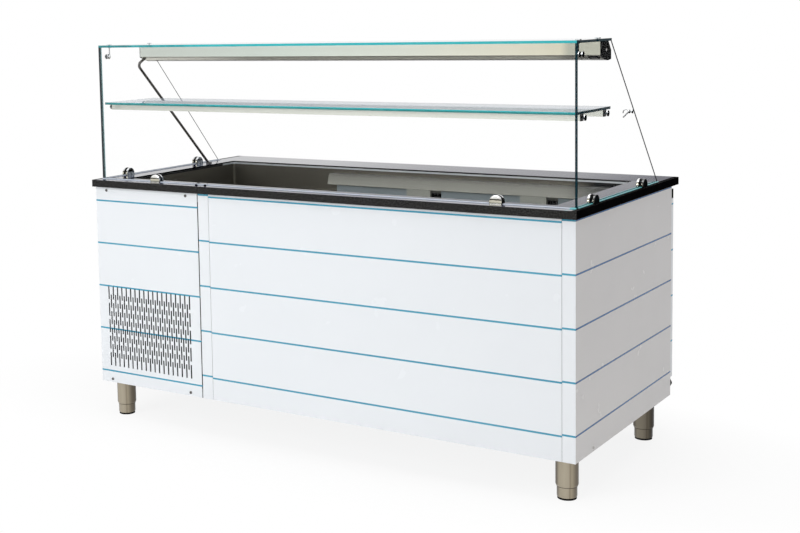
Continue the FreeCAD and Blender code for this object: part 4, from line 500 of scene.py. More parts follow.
def chrome(name, banded=None):
    """Chrome whose colour is a painted reflection: bright where it faces up, dark round the
    horizon; banded gives a foot and a rise.
    """
    made = Finish(name, specular_ior_level=0.0)
    place, facing = made.place(), made.facing()
    smear = made.noise(60.0, 3.0)
    # Painted reflection of the surroundings, by which way the surface faces
    color = (facing.z * 0.5 + 0.5 + (smear - 0.5) * 0.05).ramp(
        (0.0, tone(170, 168, 160)), (0.34, tone(96, 96, 95)), (0.44, tone(20, 22, 24)),
        (0.53, tone(26, 28, 30)), (0.62, tone(190, 193, 196)), (1.0, tone(250, 250, 250)),
    )
    # Painted brighter reflection on pieces above the top pane and on the left
    raised = (place.z > TOP_PANE).most((place.x < LEFT_END) * 0.7)
    color = made.mix(raised, color, made.mix(smear, tone(190, 193, 196), tone(240, 242, 244)))
    if banded:
        foot, rise = banded
        # Painted reflection in rings up the clamps, on faces turned along Y
        painted_bands = ((place.z - foot) / rise + (smear - 0.5) * 0.22).ramp(
            (0.0, tone(236, 236, 230)), (0.1, tone(168, 167, 154)), (0.4, tone(204, 200, 184)),
            (0.47, tone(60, 57, 50)), (0.56, tone(70, 66, 58)), (0.62, tone(226, 225, 220)),
            (1.0, tone(252, 252, 252)),
        )
        color = made.mix(abs(facing.y) > 0.8, color, painted_bands)
        # Painted mottled reflection on the inner faces of the left clamps
        inner = (place.x < LEFT_END) * (facing.x > 0.8)
        mottled_reflection = made.noise(260.0).rise(0.4, 0.65)
        color = made.mix(inner, color, made.mix(mottled_reflection, tone(62, 70, 78), tone(176, 182, 188)))
        # Painted dark reflection on the clamps outside the right pane
        color = made.mix((place.x > OUTER_CLAMPS) * 0.85, color, tone(14, 17, 19))
    # Faces on the right turned to +X: a painted dark reflection, with the metal turned off
    outer = (place.x > RIGHT_END) * (facing.x > 0.8)
    return made.wear(
        base_color=made.mix(outer, color, made.mix(smear, tone(8, 10, 11), tone(22, 26, 28))),
        metallic=1 - outer,
        roughness=smear.between(0.05, 0.12),
    )


def leg_tube(name, seam):
    """Satin stainless tube, brushed upright, with painted highlight and shade across it, painted
    shade on the rear legs, and a dark seam round it at the given height.
    """
    made = Finish(name, metallic=0.9)
    place, facing = made.place(), made.facing()
    lines = made.brush(220.0, 220.0, 5.0)
    # Painted highlight and shade across the tube, by which way its surface faces
    turn = (facing.x * 0.82 + facing.y * 0.57) * 0.5 + 0.5
    painted_streaks = (turn + (lines - 0.5) * 0.04).ramp(
        (0.0, tone(70, 62, 52)), (0.08, tone(166, 157, 139)), (0.3, tone(176, 167, 148)),
        (0.47, tone(168, 158, 140)), (0.52, tone(138, 128, 110)), (0.6, tone(160, 150, 130)),
        (0.8, tone(106, 98, 86)), (0.94, tone(78, 70, 58)), (1.0, tone(40, 34, 28)),
    )
    wear_and_painted_light = made.mix(lines * 0.25, painted_streaks, tone(150, 142, 128))
    shaded = (place.y > 0.0) * (facing.y < 0.6) * (turn * 0.6 + 0.34)
    wear_and_painted_light = made.mix(shaded, wear_and_painted_light, tone(20, 17, 14))
    return made.wear(
        base_color=made.mix(place.z.near(seam, SEAM_HALF), wear_and_painted_light, tone(48, 42, 36)),
        roughness=lines.between(0.26, 0.4),
        normal=made.bump(lines),
    )


def lamp_metal():
    """Satin lamp body: pale face with painted light and shade along it, and a folded lower edge
    with a painted highlight between two creases of painted shade.
    """
    made = Finish("lamp_metal", metallic=0.3)
    place = made.place()
    low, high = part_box("light_housing")
    height = (place.z - low.z) / (high.z - low.z)
    along = (place.x - low.x) / (high.x - low.x)
    cast = made.noise(1.0, 2.0, (2.2, 8.0, 8.0))
    fine = made.noise(300.0)
    # By height: painted shade under the fold and in the crease above it, a painted highlight on
    # the fold
    painted_bands = height.ramp(
        (0.0, tone(96, 92, 82)), (0.05, tone(104, 100, 90)), (0.08, tone(226, 224, 210)),
        (0.24, tone(220, 218, 204)), (0.26, tone(92, 88, 76)), (0.29, tone(100, 96, 84)),
        (0.31, tone(198, 206, 196)), (1.0, tone(206, 213, 203)),
    )
    # Along the lamp: painted light and shade on the face, darker at the right end
    pale = along.ramp(
        (0.0, tone(202, 208, 200)), (0.35, tone(206, 216, 206)), (0.62, tone(214, 218, 206)),
        (0.85, tone(218, 214, 194)), (0.93, tone(214, 209, 186)), (0.945, tone(176, 176, 160)),
        (1.0, tone(180, 180, 164)),
    )
    face = height > 0.3
    # Painted shade on the lower fold at the right end
    painted_bands = made.mix(along.rise(0.9, 0.96) * (1 - face) * 0.8, painted_bands, tone(88, 86, 80))
    painted_bands = made.mix(face, painted_bands, made.mix(cast * 0.3, pale, made.mix(fine, painted_bands, pale)))
    return made.wear(
        base_color=painted_bands,
        roughness=fine.between(0.3, 0.45),
        normal=made.bump(fine, 0.03),
    )


def cap_plastic():
    """Black end caps of the lamp; the left one's rim catches the light."""
    made = Finish("cap_plastic", specular_ior_level=0.0)
    facing = made.facing()
    fine = made.noise(300.0)
    lit = (made.place().x < 0.0) * (facing.y < -0.5)
    black = made.mix(fine, tone(10, 10, 11), tone(20, 20, 22))
    return made.wear(
        base_color=made.mix(lit, black, tone(190, 194, 190)),
        roughness=fine.between(0.3, 0.45),
        coat_weight=abs(facing.x) * 0.04,
        normal=made.bump(fine, 0.02, 0.0003),
    )


def rail_plug():
    """Plugs of the shelf rails: black on the right, and pale grey on the left as painted light."""
    made = Finish("rail_plug", specular_ior_level=0.1)
    fine = made.noise(420.0)
    black = made.mix(fine, tone(14, 15, 16), tone(26, 28, 30))
    pale = made.mix(fine, tone(168, 168, 160), tone(196, 196, 188))
    return made.wear(
        base_color=made.mix(made.place().x < 0.0, black, pale),
        roughness=fine.between(0.35, 0.5),
        normal=made.bump(fine, 0.06, 0.0006),
    )


def coated(name, color, low=0.3, high=0.5, grain=420.0, lift=0.06, metallic=0.0, gloss=0.12):
    """Painted, moulded or rubber surface with a fine grain."""
    made = Finish(name, metallic=metallic, specular_ior_level=gloss)
    fine = made.noise(grain)
    broad = made.noise(7.0, 3.0)
    return made.wear(
        base_color=made.mix(broad, dimmed(color, 0.8), color),
        roughness=(broad * 0.5 + fine * 0.5).between(low, high),
        normal=made.bump(fine, lift, 0.0006),
    )


def pane(node, axis, looks):
    """Clear pane with tinted edges; axis is the direction of its thickness."""
    made = Finish("pane_" + node, specular_ior_level=0.0)
    place, facing = made.place(), made.facing()
    edge = abs(facing["XYZ".index(axis)]) < 0.5
    upright = abs(facing.y) > 0.9
    streak = made.noise(1.0, 3.0, (30.0, 30.0, 30.0))
    rim = made.mix(streak, looks.edge_dark, looks.edge_middle)
    cover = edge * looks.edge_cover
    tint, gloss, shine = looks.pane_tint, looks.pane_gloss, 1 - edge
    if axis == "Z":
        # The long front edges of the level panes carry a painted cyan glow with painted
        # highlights, dimmer at the left end and on the lower half of the shelf's edge
        front, rear = upright * (place.y < FRONT_EDGES), upright * (place.y > FRONT_EDGES)
        along = (place.x + (streak - 0.5) * 0.5).rise(-SHEEN_REACH, LEFT_BRIGHT)
        bright = made.mix(along, tone(30, 112, 118), looks.edge_bright)
        shelf_foot = (place.z < span(node)[2].z + MM) * (place.z < OVER_SHELF)
        bright = made.mix(shelf_foot * 0.85, bright, tone(30, 108, 106))
        rim = made.mix(front, rim, made.mix(streak * 0.3, bright, tone(110, 214, 214)))
        open_edge = rear.most(edge * (place.x < LEFT_CORNER) * (1 - front))
        cover = cover - open_edge * (looks.edge_cover - 0.1)
        tint, gloss, shine = looks.flat_tint, looks.flat_haze, shine * (place.z > OVER_SHELF)
    if axis == "X":
        slanted = (abs(facing.y) > 0.3) * (abs(facing.z) > 0.3)
        off_middle = abs(abs(place.x - CORE_SHIFT) - looks.pane_middle)
        core = upright * (off_middle < CORE_HALF)
        rim = made.mix(core, rim, tone(150, 200, 210))
        # Painted light: the left pane's edges are lighter and greyer
        rim = made.mix((place.x < 0.0) * 0.5, rim, tone(110, 136, 132))
        rim = made.mix(slanted, rim, looks.edge_pale)
        inner_half = slanted * (abs(place.x) < looks.pane_middle + PANE_HALF / 10)
        cover = cover - inner_half * (looks.edge_cover - 0.02)
    aslant = made.node("ShaderNodeLayerWeight", "Facing", {}, {"Blend": 0.5})
    clear = (aslant ** 5.0 * gloss + looks.pane_haze).least(1.0)
    return made.wear(
        base_color=made.mix(edge, tint, rim),
        metallic=shine,
        roughness=made.noise(6.0).between(0.02, 0.05),
        alpha=clear * (1 - edge) + cover,
    )


def sealant():
    """Thin silicone bead painted with the cyan glow of the glass edges, and pale past the right
    pane.
    """
    made = Finish("sealant", roughness=0.25)
    smear = made.noise(22.0, 3.0)
    edge_glow = made.mix(smear, tone(70, 176, 186), tone(136, 222, 226))
    pale = made.mix(smear, tone(176, 186, 200), tone(214, 220, 230))
    return made.wear(
        base_color=made.mix(made.place().x > PAST_RIGHT_PANE, pale, edge_glow),
        normal=made.bump(made.noise(60.0), 0.15, 0.0006),
    )


def foam(name, color):
    """Rigid cellular foam."""
    made = Finish(name, roughness=0.9)
    bubbles = made.cells(420.0)
    return made.wear(
        base_color=made.mix(bubbles, color, dimmed(color, 0.75)),
        normal=made.bump(bubbles, 0.4, 0.001),
    )


def finned(name, color, spacing):
    """Coil fins drawn between the modelled ones."""
    made = Finish(name, metallic=0.8)
    # Dark between the fins: painted shade in the gaps
    fin = (made.place().x * (math.tau / spacing)).sine() * 0.5 + 0.5
    return made.wear(
        base_color=made.mix(fin, dimmed(color, 0.35), color),
        roughness=made.noise(80.0).between(0.3, 0.5),
        normal=made.bump(fin, 0.3, 0.0008),
    )


# Modelling


def begin(kind, name, **size):
    """Adds one primitive with nothing else selected, and opens it for editing."""
    bpy.ops.object.select_all(action="DESELECT")
    getattr(bpy.ops.mesh, "primitive_" + kind + "_add")(**size)
    piece = bpy.context.object
    piece.name = name
    piece.data.name = name
    bpy.ops.object.mode_set(mode="EDIT")
    return piece


def choose(piece, kind, test):
    """Selects the faces or edges that pass a test."""
    bpy.ops.mesh.select_mode(type=kind)
    bpy.ops.mesh.select_all(action="DESELECT")
    mesh = bmesh.from_edit_mesh(piece.data)
    mesh.normal_update()
    for item in mesh.faces if kind == "FACE" else mesh.edges:
        if test(item):
            item.select_set(True)
    bmesh.update_edit_mesh(piece.data)


def middle_of(item):
    """The middle of an edge or face."""
    total = Vector((0.0, 0.0, 0.0))
    for vertex in item.verts:
        total += vertex.co
    return total / len(item.verts)


def close(piece, angle=35.0):
    """Leaves edit mode with clean normals and smooth shading, and fixes the piece in place."""
    bpy.ops.mesh.select_all(action="SELECT")
    bpy.ops.mesh.remove_doubles(threshold=MERGE)
    bpy.ops.mesh.normals_make_consistent(inside=False)
    bpy.ops.object.mode_set(mode="OBJECT")
    bpy.ops.object.select_all(action="DESELECT")
    piece.select_set(True)
    bpy.context.view_layer.objects.active = piece
    bpy.ops.object.transform_apply(location=True, rotation=True, scale=True)
    bpy.ops.object.shade_smooth_by_angle(angle=math.radians(angle))
    return piece


def turned(name, profile, sides=64):
    """A round piece raised ring by ring through radii and heights, left open for editing."""
    radius, height = profile[0]
    piece = begin(
        "circle", name, vertices=sides, radius=radius, fill_type="NGON", location=(0, 0, 0)
    )
    bpy.ops.mesh.select_all(action="SELECT")
    bpy.ops.transform.translate(value=(0, 0, height))
    for next_radius, next_height in profile[1:]:
        bpy.ops.mesh.extrude_region_move(
            TRANSFORM_OT_translate={"value": (0, 0, next_height - height)}
        )
        share = next_radius / radius
        bpy.ops.transform.resize(value=(share, share, 1), center_override=(0, 0, next_height))
        radius, height = next_radius, next_height
    return piece


def outline(shares, wide, tall):
    """Radii and heights from shares of a width and a height."""
    return [(wide * across, tall * up) for across, up in shares]


def stand_at(piece, place, turn=None):
    """Puts a piece that was made at the origin in its place, and leaves it untransformed."""
    matrix = Matrix.Translation(place)
    if turn is not None:
        matrix = matrix @ turn
    piece.data.transform(matrix)
    return piece


def copied(piece, name):
    """A copy with its own mesh."""
    twin = piece.copy()
    twin.data = piece.data.copy()
    twin.name = name
    twin.data.name = name
    bpy.context.scene.collection.objects.link(twin)
    return twin


def joined(pieces, name):
    """Several pieces as one."""
    bpy.ops.object.select_all(action="DESELECT")
    for piece in pieces:
        piece.select_set(True)
    bpy.context.view_layer.objects.active = pieces[0]
    if len(pieces) > 1:
        bpy.ops.object.join()
    pieces[0].name = name
    pieces[0].data.name = name
    return pieces[0]


def carve(piece, cutter):
    """Cuts one piece out of another and drops the cutter."""
    bpy.ops.object.select_all(action="DESELECT")
    piece.select_set(True)
    bpy.context.view_layer.objects.active = piece
    cut = piece.modifiers.new("cut", "BOOLEAN")
    cut.operation = "DIFFERENCE"
    cut.object = cutter
    bpy.ops.object.modifier_apply(modifier="cut")
    bpy.data.objects.remove(cutter)
    return piece


def block(name, low, high):
    """A block between two corners, left open for editing."""
    piece = begin("cube", name, size=1.0, location=(0, 0, 0))
    bpy.ops.mesh.select_all(action="SELECT")
    bpy.ops.transform.resize(value=high - low)
    bpy.ops.transform.translate(value=(low + high) / 2)
    return piece


def bar(name, low, high, soft, steps=2):
    """A bar between two corners with its edges rounded."""
    piece = block(name, Vector(low), Vector(high))
    bpy.ops.mesh.bevel(offset=soft, segments=steps, affect="EDGES")
    return close(piece)


def wired(name, points, radius, closed, sides=8):
    """A round wire along points; its path is drawn as edges first, then given its thickness."""
    piece = begin("circle", name, vertices=max(len(points), 3), radius=1.0, fill_type="NOTHING")
    mesh = bmesh.from_edit_mesh(piece.data)
    mesh.clear()
    path = [mesh.verts.new(point) for point in points]
    for first, last in zip(path, path[1:] + (path[:1] if closed else [])):
        mesh.edges.new((first, last))
    bmesh.update_edit_mesh(piece.data)
    bpy.ops.object.mode_set(mode="OBJECT")
    bpy.ops.object.convert(target="CURVE")
    curve = bpy.context.object.data
    curve.bevel_depth = radius
    curve.bevel_resolution = sides // 4 - 1
    curve.use_fill_caps = True
    bpy.ops.object.convert(target="MESH")
    piece = bpy.context.object
    bpy.ops.object.mode_set(mode="EDIT")
    return close(piece, 60.0)


def lumps(node):
    """Lowest and highest corner of each separate lump of a node."""
    target = NODES[node]
    mesh = bmesh.new()
    mesh.from_mesh(target.data)
    bmesh.ops.remove_doubles(mesh, verts=mesh.verts, dist=MERGE * 10)
    waiting = set(mesh.verts)
    found = []
    while waiting:
        ends = [waiting.pop()]
        members = list(ends)
        while ends:
            for edge in ends.pop().link_edges:
                for vertex in edge.verts:
                    if vertex in waiting:
                        waiting.remove(vertex)
                        ends.append(vertex)
                        members.append(vertex)
        places = [target.matrix_world @ vertex.co for vertex in members]
        low = Vector([min(place[axis] for place in places) for axis in range(3)])
        high = Vector([max(place[axis] for place in places) for axis in range(3)])
        found.append((low, high))
    mesh.free()
    return sorted(found, key=lambda pair: [round(value, 5) for value in pair[0]])


def settle(piece, body, slot, material, *stands_for):
    """Gives a finished piece its body and material, and hides the nodes that it stands for; the
    slot is not used.
    """
    paint(material, piece.name)
    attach(piece, body)
    if stands_for:
        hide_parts(*stands_for)


def span(node):
    """Lowest corner, highest corner and middle of a node."""
    low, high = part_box(node)
    return low, high, (low + high) / 2


# Settings


class CounterLooks(bpy.types.PropertyGroup):
    """Colours and surface sizes."""

    panel_white: bpy.props.FloatVectorProperty(
        name="Panel white", description="Lightest tone of the white sheet", subtype="COLOR",
        size=3, min=0.0, max=1.0, default=tone(244, 247, 250),
    )
    panel_shade: bpy.props.FloatVectorProperty(
        name="Panel shade", description="Slightly darker tone that clouds the white sheet",
        subtype="COLOR", size=3, min=0.0, max=1.0, default=tone(238, 242, 246),
    )
    # The two tones of the end panels' faces turned along X are painted shade
    side_white: bpy.props.FloatVectorProperty(
        name="Side white", description="Lightest tone of the end panels", subtype="COLOR",
        size=3, min=0.0, max=1.0, default=tone(232, 229, 227),
    )
    side_shade: bpy.props.FloatVectorProperty(
        name="Side shade", description="Darker tone of the end panels", subtype="COLOR",
        size=3, min=0.0, max=1.0, default=tone(218, 216, 217),
    )
    stripe_blue: bpy.props.FloatVectorProperty(
        name="Line blue", description="Colour of the lines on the film", subtype="COLOR",
        size=3, min=0.0, max=1.0, default=tone(92, 178, 204),
    )
    stripe_width: bpy.props.FloatProperty(
        name="Line width", description="Height of each blue line", default=0.0058,
        unit="LENGTH", subtype="DISTANCE",
    )
    stone_dark: bpy.props.FloatVectorProperty(
        name="Stone", description="Ground colour of the granite", subtype="COLOR",
        size=3, min=0.0, max=1.0, default=tone(12, 11, 12),
    )
    stone_fleck: bpy.props.FloatVectorProperty(
        name="Fleck", description="Colour of the pale grains", subtype="COLOR",
        size=3, min=0.0, max=1.0, default=tone(120, 118, 118),
    )
    fleck_level: bpy.props.FloatProperty(
        name="Fleck level", description="Higher means fewer pale grains", default=0.93,
        subtype="FACTOR", min=0.0, max=1.0,
    )
    pane_tint: bpy.props.FloatVectorProperty(
        name="Pane tint", description="Tint of the clear faces", subtype="COLOR",
        size=3, min=0.0, max=1.0, default=tone(246, 250, 252),
    )
    flat_tint: bpy.props.FloatVectorProperty(
        name="Flat tint", description="Tint of the level panes, seen at a low angle",
        subtype="COLOR", size=3, min=0.0, max=1.0, default=(0.44, 0.5, 0.58),
    )
    flat_haze: bpy.props.FloatProperty(
        name="Flat haze", description="How much a level pane covers at a low angle",
        default=0.46, subtype="FACTOR", min=0.0, max=1.0,
    )
    pane_middle: bpy.props.FloatProperty(
        name="Pane middle", description="Distance of the side panes' middle from the centre",
        default=0.895, unit="LENGTH", subtype="DISTANCE",
    )
    edge_dark: bpy.props.FloatVectorProperty(
        name="Edge, dark", description="Darker tone of the upright and end edges",
        subtype="COLOR", size=3, min=0.0, max=1.0, default=tone(3, 22, 30),
    )
    edge_middle: bpy.props.FloatVectorProperty(
        name="Edge, middle", description="Lighter tone of the upright and end edges",
        subtype="COLOR", size=3, min=0.0, max=1.0, default=tone(18, 62, 74),
    )
    # Painted glow of the long front edges
    edge_bright: bpy.props.FloatVectorProperty(
        name="Edge, bright", description="Tone of the long front edges of top and shelf",
        subtype="COLOR", size=3, min=0.0, max=1.0, default=tone(34, 178, 186),
    )
    edge_pale: bpy.props.FloatVectorProperty(
        name="Edge, slanted", description="Tone of the slanted rear edges", subtype="COLOR",
        size=3, min=0.0, max=1.0, default=tone(34, 40, 44),
    )
    pane_gloss: bpy.props.FloatProperty(
        name="Pane gloss", description="Strength of the reflections in a pane's face",
        default=0.05, subtype="FACTOR", min=0.0, max=1.0,
    )
    pane_haze: bpy.props.FloatProperty(
        name="Pane haze", description="How much a pane's face covers what is behind it",
        default=0.002, subtype="FACTOR", min=0.0, max=1.0,
    )
    edge_cover: bpy.props.FloatProperty(
        name="Edge cover", description="How much an edge covers what is behind it",
        default=0.96, subtype="FACTOR", min=0.0, max=1.0,
    )


class CounterFoot(bpy.types.PropertyGroup):
    """Sizes of the levelling feet."""

    groove: bpy.props.FloatProperty(
        name="Groove", description="Depth of the grooves in the rubber pad", default=0.0012,
        unit="LENGTH", subtype="DISTANCE",
    )
    rounding: bpy.props.FloatProperty(
        name="Rounding", description="Radius of the cup's lower edge", default=0.004,
        unit="LENGTH", subtype="DISTANCE",
    )
    wall: bpy.props.FloatProperty(
        name="Wall", description="Wall of the cup", default=0.003, unit="LENGTH",
        subtype="DISTANCE",
    )


class CounterFittings(bpy.types.PropertyGroup):
    """Sizes of the screws, beads and plugs."""

    screw_head: bpy.props.FloatProperty(
        name="Screw head", description="Radius of a screw's head", default=0.005,
        unit="LENGTH", subtype="DISTANCE",
    )
    screw_rise: bpy.props.FloatProperty(
        name="Screw rise", description="Height of a screw's head", default=0.003,
        unit="LENGTH", subtype="DISTANCE",
    )
    screw_shank: bpy.props.FloatProperty(
        name="Screw shank", description="Radius of a screw's shank", default=0.002,
        unit="LENGTH", subtype="DISTANCE",
    )
    screw_length: bpy.props.FloatProperty(
        name="Screw length", description="Length of a screw's shank", default=0.008,
        unit="LENGTH", subtype="DISTANCE",
    )
    cross_width: bpy.props.FloatProperty(
        name="Recess width", description="Width of one arm of the cross recess", default=0.0011,
        unit="LENGTH", subtype="DISTANCE",
    )
    cross_reach: bpy.props.FloatProperty(
        name="Recess reach", description="Reach of one arm of the cross recess", default=0.0026,
        unit="LENGTH", subtype="DISTANCE",
    )
    bead: bpy.props.FloatProperty(
        name="Bead", description="Width and height of the sealant at the foot of the panes",
        default=0.003, unit="LENGTH", subtype="DISTANCE",
    )
    plug: bpy.props.FloatProperty(
        name="Plug", description="Radius of the plugs in the front ledge", default=0.0029,
        unit="LENGTH", subtype="DISTANCE",
    )


class CounterWorks(bpy.types.PropertyGroup):
    """Sizes of the knob, the fan, the compressor and the wire shelves."""

    rib_depth: bpy.props.FloatProperty(
        name="Knob rib", description="Depth of the grooves round the knob", default=0.0008,
        unit="LENGTH", subtype="DISTANCE",
    )
    pointer_width: bpy.props.FloatProperty(
        name="Pointer width", description="Width of the knob's pointer", default=0.0038,
        unit="LENGTH", subtype="DISTANCE",
    )
    tick_count: bpy.props.IntProperty(
        name="Ticks", description="Number of marks round the knob", default=10, min=2, max=40
    )
    tick_length: bpy.props.FloatProperty(
        name="Tick length", description="Length of a mark", default=0.0045,
        unit="LENGTH", subtype="DISTANCE",
    )
    blade_count: bpy.props.IntProperty(
        name="Blades", description="Number of fan blades", default=5, min=2, max=12
    )
    blade_pitch: bpy.props.FloatProperty(
        name="Blade pitch", description="Slope of the fan blades",
        default=math.radians(24.0), unit="ROTATION", subtype="ANGLE",
    )
    blade_curl: bpy.props.FloatProperty(
        name="Blade curl", description="Turn of a blade from its middle to its edge",
        default=math.radians(14.0), unit="ROTATION", subtype="ANGLE",
    )
    wire: bpy.props.FloatProperty(
        name="Wire", description="Radius of the shelf's frame wire", default=0.0025,
        unit="LENGTH", subtype="DISTANCE",
    )
    wire_pitch: bpy.props.FloatProperty(
        name="Wire pitch", description="Distance between the shelf's thin wires", default=0.024,
        unit="LENGTH", subtype="DISTANCE",
    )


class CounterStage(bpy.types.PropertyGroup):
    """Light, floor and camera."""

    key_watts: bpy.props.FloatProperty(
        name="Key", description="Power of the large lamp at the front left", default=141.0,
        unit="POWER",
    )
    top_watts: bpy.props.FloatProperty(
        name="Top", description="Power of the lamp overhead", default=65.0, unit="POWER"
    )
    ambient: bpy.props.FloatProperty(
        name="Ambient", description="Strength of the even light from all round", default=0.42,
        min=0.0, max=1.0,
    )
    floor_share: bpy.props.FloatProperty(
        name="Floor glow", description="Share of plain white in the floor close to the object",
        default=0.86, subtype="FACTOR", min=0.0, max=1.0,
    )
    floor_reach: bpy.props.FloatProperty(
        name="Floor reach", description="Distance at which the floor is plain white",
        default=1.8, unit="LENGTH", subtype="DISTANCE",
    )
    lens: bpy.props.FloatProperty(
        name="Lens", description="Focal length of the camera on a 36 mm frame", default=60.46,
        unit="CAMERA",
    )


# Operators


class COUNTER_OT_panels(bpy.types.Operator):
    """Finishes the white sheet panels and doors"""

    bl_idname = "counter.panels"
    bl_label = "White panels"

    levels = {
        "machine_front_panel": (795, 641, 485, 329, 172),
        "front_post_strip": (840, 682, 525, 368, 211),
        "front_main_panel": (834, 679, 522, 365, 206),
        "right_side_panel": (841, 684, 526, 369, 211),
        "left_side_panel": (841, 684, 526, 369, 211),
        "rear_service_panel": (828, 672, 515, 358, 201),
        "left_door": (782, 626, 470, 314),
        "right_door": (782, 626, 470, 314),
    }

    def execute(self, context):
        for node, heights in self.levels.items():
            paint(filmed_panel(node, heights, context.scene.counter_looks), node)
        return {"FINISHED"}


class COUNTER_OT_stone(bpy.types.Operator):
    """Finishes the worktop"""

    bl_idname = "counter.stone"
    bl_label = "Granite worktop"

    def execute(self, context):
        paint(granite(context.scene.counter_looks), "worktop")
        return {"FINISHED"}


class COUNTER_OT_glass(bpy.types.Operator):
    """Finishes the panes of the canopy"""

    bl_idname = "counter.glass"
    bl_label = "Glass canopy"

    thickness = {
        "front_glass": "Y",
        "left_side_glass": "X",
        "right_side_glass": "X",
        "top_glass": "Z",
        "shelf_glass": "Z",
    }

    def execute(self, context):
        for node, axis in self.thickness.items():
            paint(pane(node, axis, context.scene.counter_looks), node)
        return {"FINISHED"}


class COUNTER_OT_metal(bpy.types.Operator):
    """Finishes the steel, chrome and zinc pieces"""

    bl_idname = "counter.metal"
    bl_label = "Metal pieces"

    sleeve_seam = 0.0375

    def execute(self, context):
        paint(well_sheet(), "well_basin")
        paint(duct_sheet(), "air_duct_cover")
        paint(brushed("bracket_steel", tone(166, 169, 162), "X", 0.35, 0.5, 0.2), "duct_brackets")
        paint(brushed("liner_steel", tone(200, 200, 196), "X"), "storage_liner", "rear_face_frame")
        paint(leg_tube("leg_steel", self.sleeve_seam), "leg_sleeves")
        paint(brushed("rail_steel", tone(204, 206, 198), "X", 0.3, 0.45), "shelf_rails")
        zinc = coated("zinc", tone(150, 155, 158), 0.35, 0.55, 60.0, 0.05, 1.0)
        paint(zinc, "chassis_frame", "floor_panel", "condensing_unit_tray", "fan_shroud")
        paint(chrome("chrome_trim"), "glass_bolts", "corner_connectors", "glass_hook")
        low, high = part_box("glass_clamps")
        paint(chrome("clamp_chrome", (low.z, high.z - low.z)), "glass_clamps")
        dark = polished("dark_tube", tone(98, 96, 94), 0.18, 0.3)
        paint(dark, "light_conduit", "conduit_ferrule")
        paint(lamp_metal(), "light_housing")
        paint(coated("hinge_coat", tone(16, 16, 18), 0.3, 0.45, gloss=0.0), "hinge_brackets")
        return {"FINISHED"}


class COUNTER_OT_soft(bpy.types.Operator):
    """Finishes the rubber, plastic and foam pieces"""

    bl_idname = "counter.soft"
    bl_label = "Rubber, plastic and foam"

    def execute(self, context):
        black = coated("black_plastic", tone(22, 22, 23), 0.32, 0.48)
        paint(black, "control_fascia", "light_switch", "power_switch")
        paint(rail_plug(), "rail_end_plugs")
        paint(cap_plastic(), "housing_end_caps")
        rubber = coated("black_rubber", tone(24, 24, 25), 0.55, 0.75, 260.0, 0.12)
        paint(rubber, "clamp_pads", "left_door_gasket", "right_door_gasket")
        yellow = foam("foam_body", tone(226, 214, 176))
        paint(yellow, "storage_insulation", "well_insulation")
        opal = coated("opal", tone(240, 240, 236), 0.4, 0.5, 500.0, 0.02)
        paint(opal, "light_diffuser", "light_tube")
        return {"FINISHED"}


class COUNTER_OT_cooling(bpy.types.Operator):
    """Finishes the refrigeration unit and the drain"""

    bl_idname = "counter.cooling"
    bl_label = "Refrigeration unit"

    fin_spacing = 0.004

    def execute(self, context):
        paint(coated("motor_enamel", tone(26, 26, 28), 0.2, 0.35, 120.0, 0.05), "fan_motor")
        paint(finned("dark_fins", tone(66, 68, 70), self.fin_spacing), "condenser_coil")
        paint(finned("dull_fins", tone(104, 106, 108), self.fin_spacing), "evaporator_coil")
        paint(brushed("copper", tone(198, 120, 84), "Z", 0.2, 0.4), "refrigerant_pipes")
        paint(brushed("brass", tone(196, 164, 96), "Z", 0.2, 0.4), "drain_valve")
        paint(coated("lever_red", tone(178, 34, 30), 0.25, 0.4), "drain_lever")
        return {"FINISHED"}


class COUNTER_OT_feet(bpy.types.Operator):
    """Models the levelling cups and their rubber pads"""

    bl_idname = "counter.feet"
    bl_label = "Levelling feet"

    pad_height = 0.005
    pad_foot_inset = 0.003
    pad_head_inset = 0.0024
    rib_inset = 0.0016
    rib_pitch = 0.0016
    rib_levels = (0.0003, 0.0010)
    groove_levels = (0.00125, 0.0014)

    def execute(self, context):
        sizes = context.scene.counter_foot
        low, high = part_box("foot_" + FEET[0])
        radius = (high.x - low.x) / 2
        rise = self.pad_height
        inner = radius - sizes.wall
        step = sizes.rounding / 3
        cup_profile = [
            (radius - sizes.rounding, rise),
            (radius - step, rise + step),
            (radius, rise + sizes.rounding),
            (radius, high.z - step),
            (radius - step / 2, high.z),
            (inner + step / 2, high.z),
            (inner, high.z - step),
            (inner, rise + sizes.wall),
        ]
        pad_profile = [(radius - self.pad_foot_inset, 0.0)]
        rib = radius - self.rib_inset
        level = 0.0
        while level + self.rib_pitch < rise:
            pad_profile += [(rib, level + lift) for lift in self.rib_levels]
            pad_profile += [(rib - sizes.groove, level + lift) for lift in self.groove_levels]
            level += self.rib_pitch
        pad_profile.append((radius - self.pad_head_inset, rise))
        steel = leg_tube("cup_steel", 0.0)
        rubber = coated("pad_rubber", tone(22, 22, 23), 0.6, 0.8, 240.0, 0.12)
        for what, profile, slot, material in (
            ("cup", cup_profile, "stainless", steel),
            ("pad", pad_profile, "black_rubber", rubber),
        ):
            first = close(turned("first_" + what, profile), 30.0)
            for foot in FEET:
                place = span("foot_" + foot)[2]
                piece = copied(first, what + "_" + foot)
                stand_at(piece, Vector((place.x, place.y, 0.0)))
                settle(piece, "foot_" + foot + "_body", slot, material, "foot_" + foot)
            bpy.data.objects.remove(first)
        return {"FINISHED"}


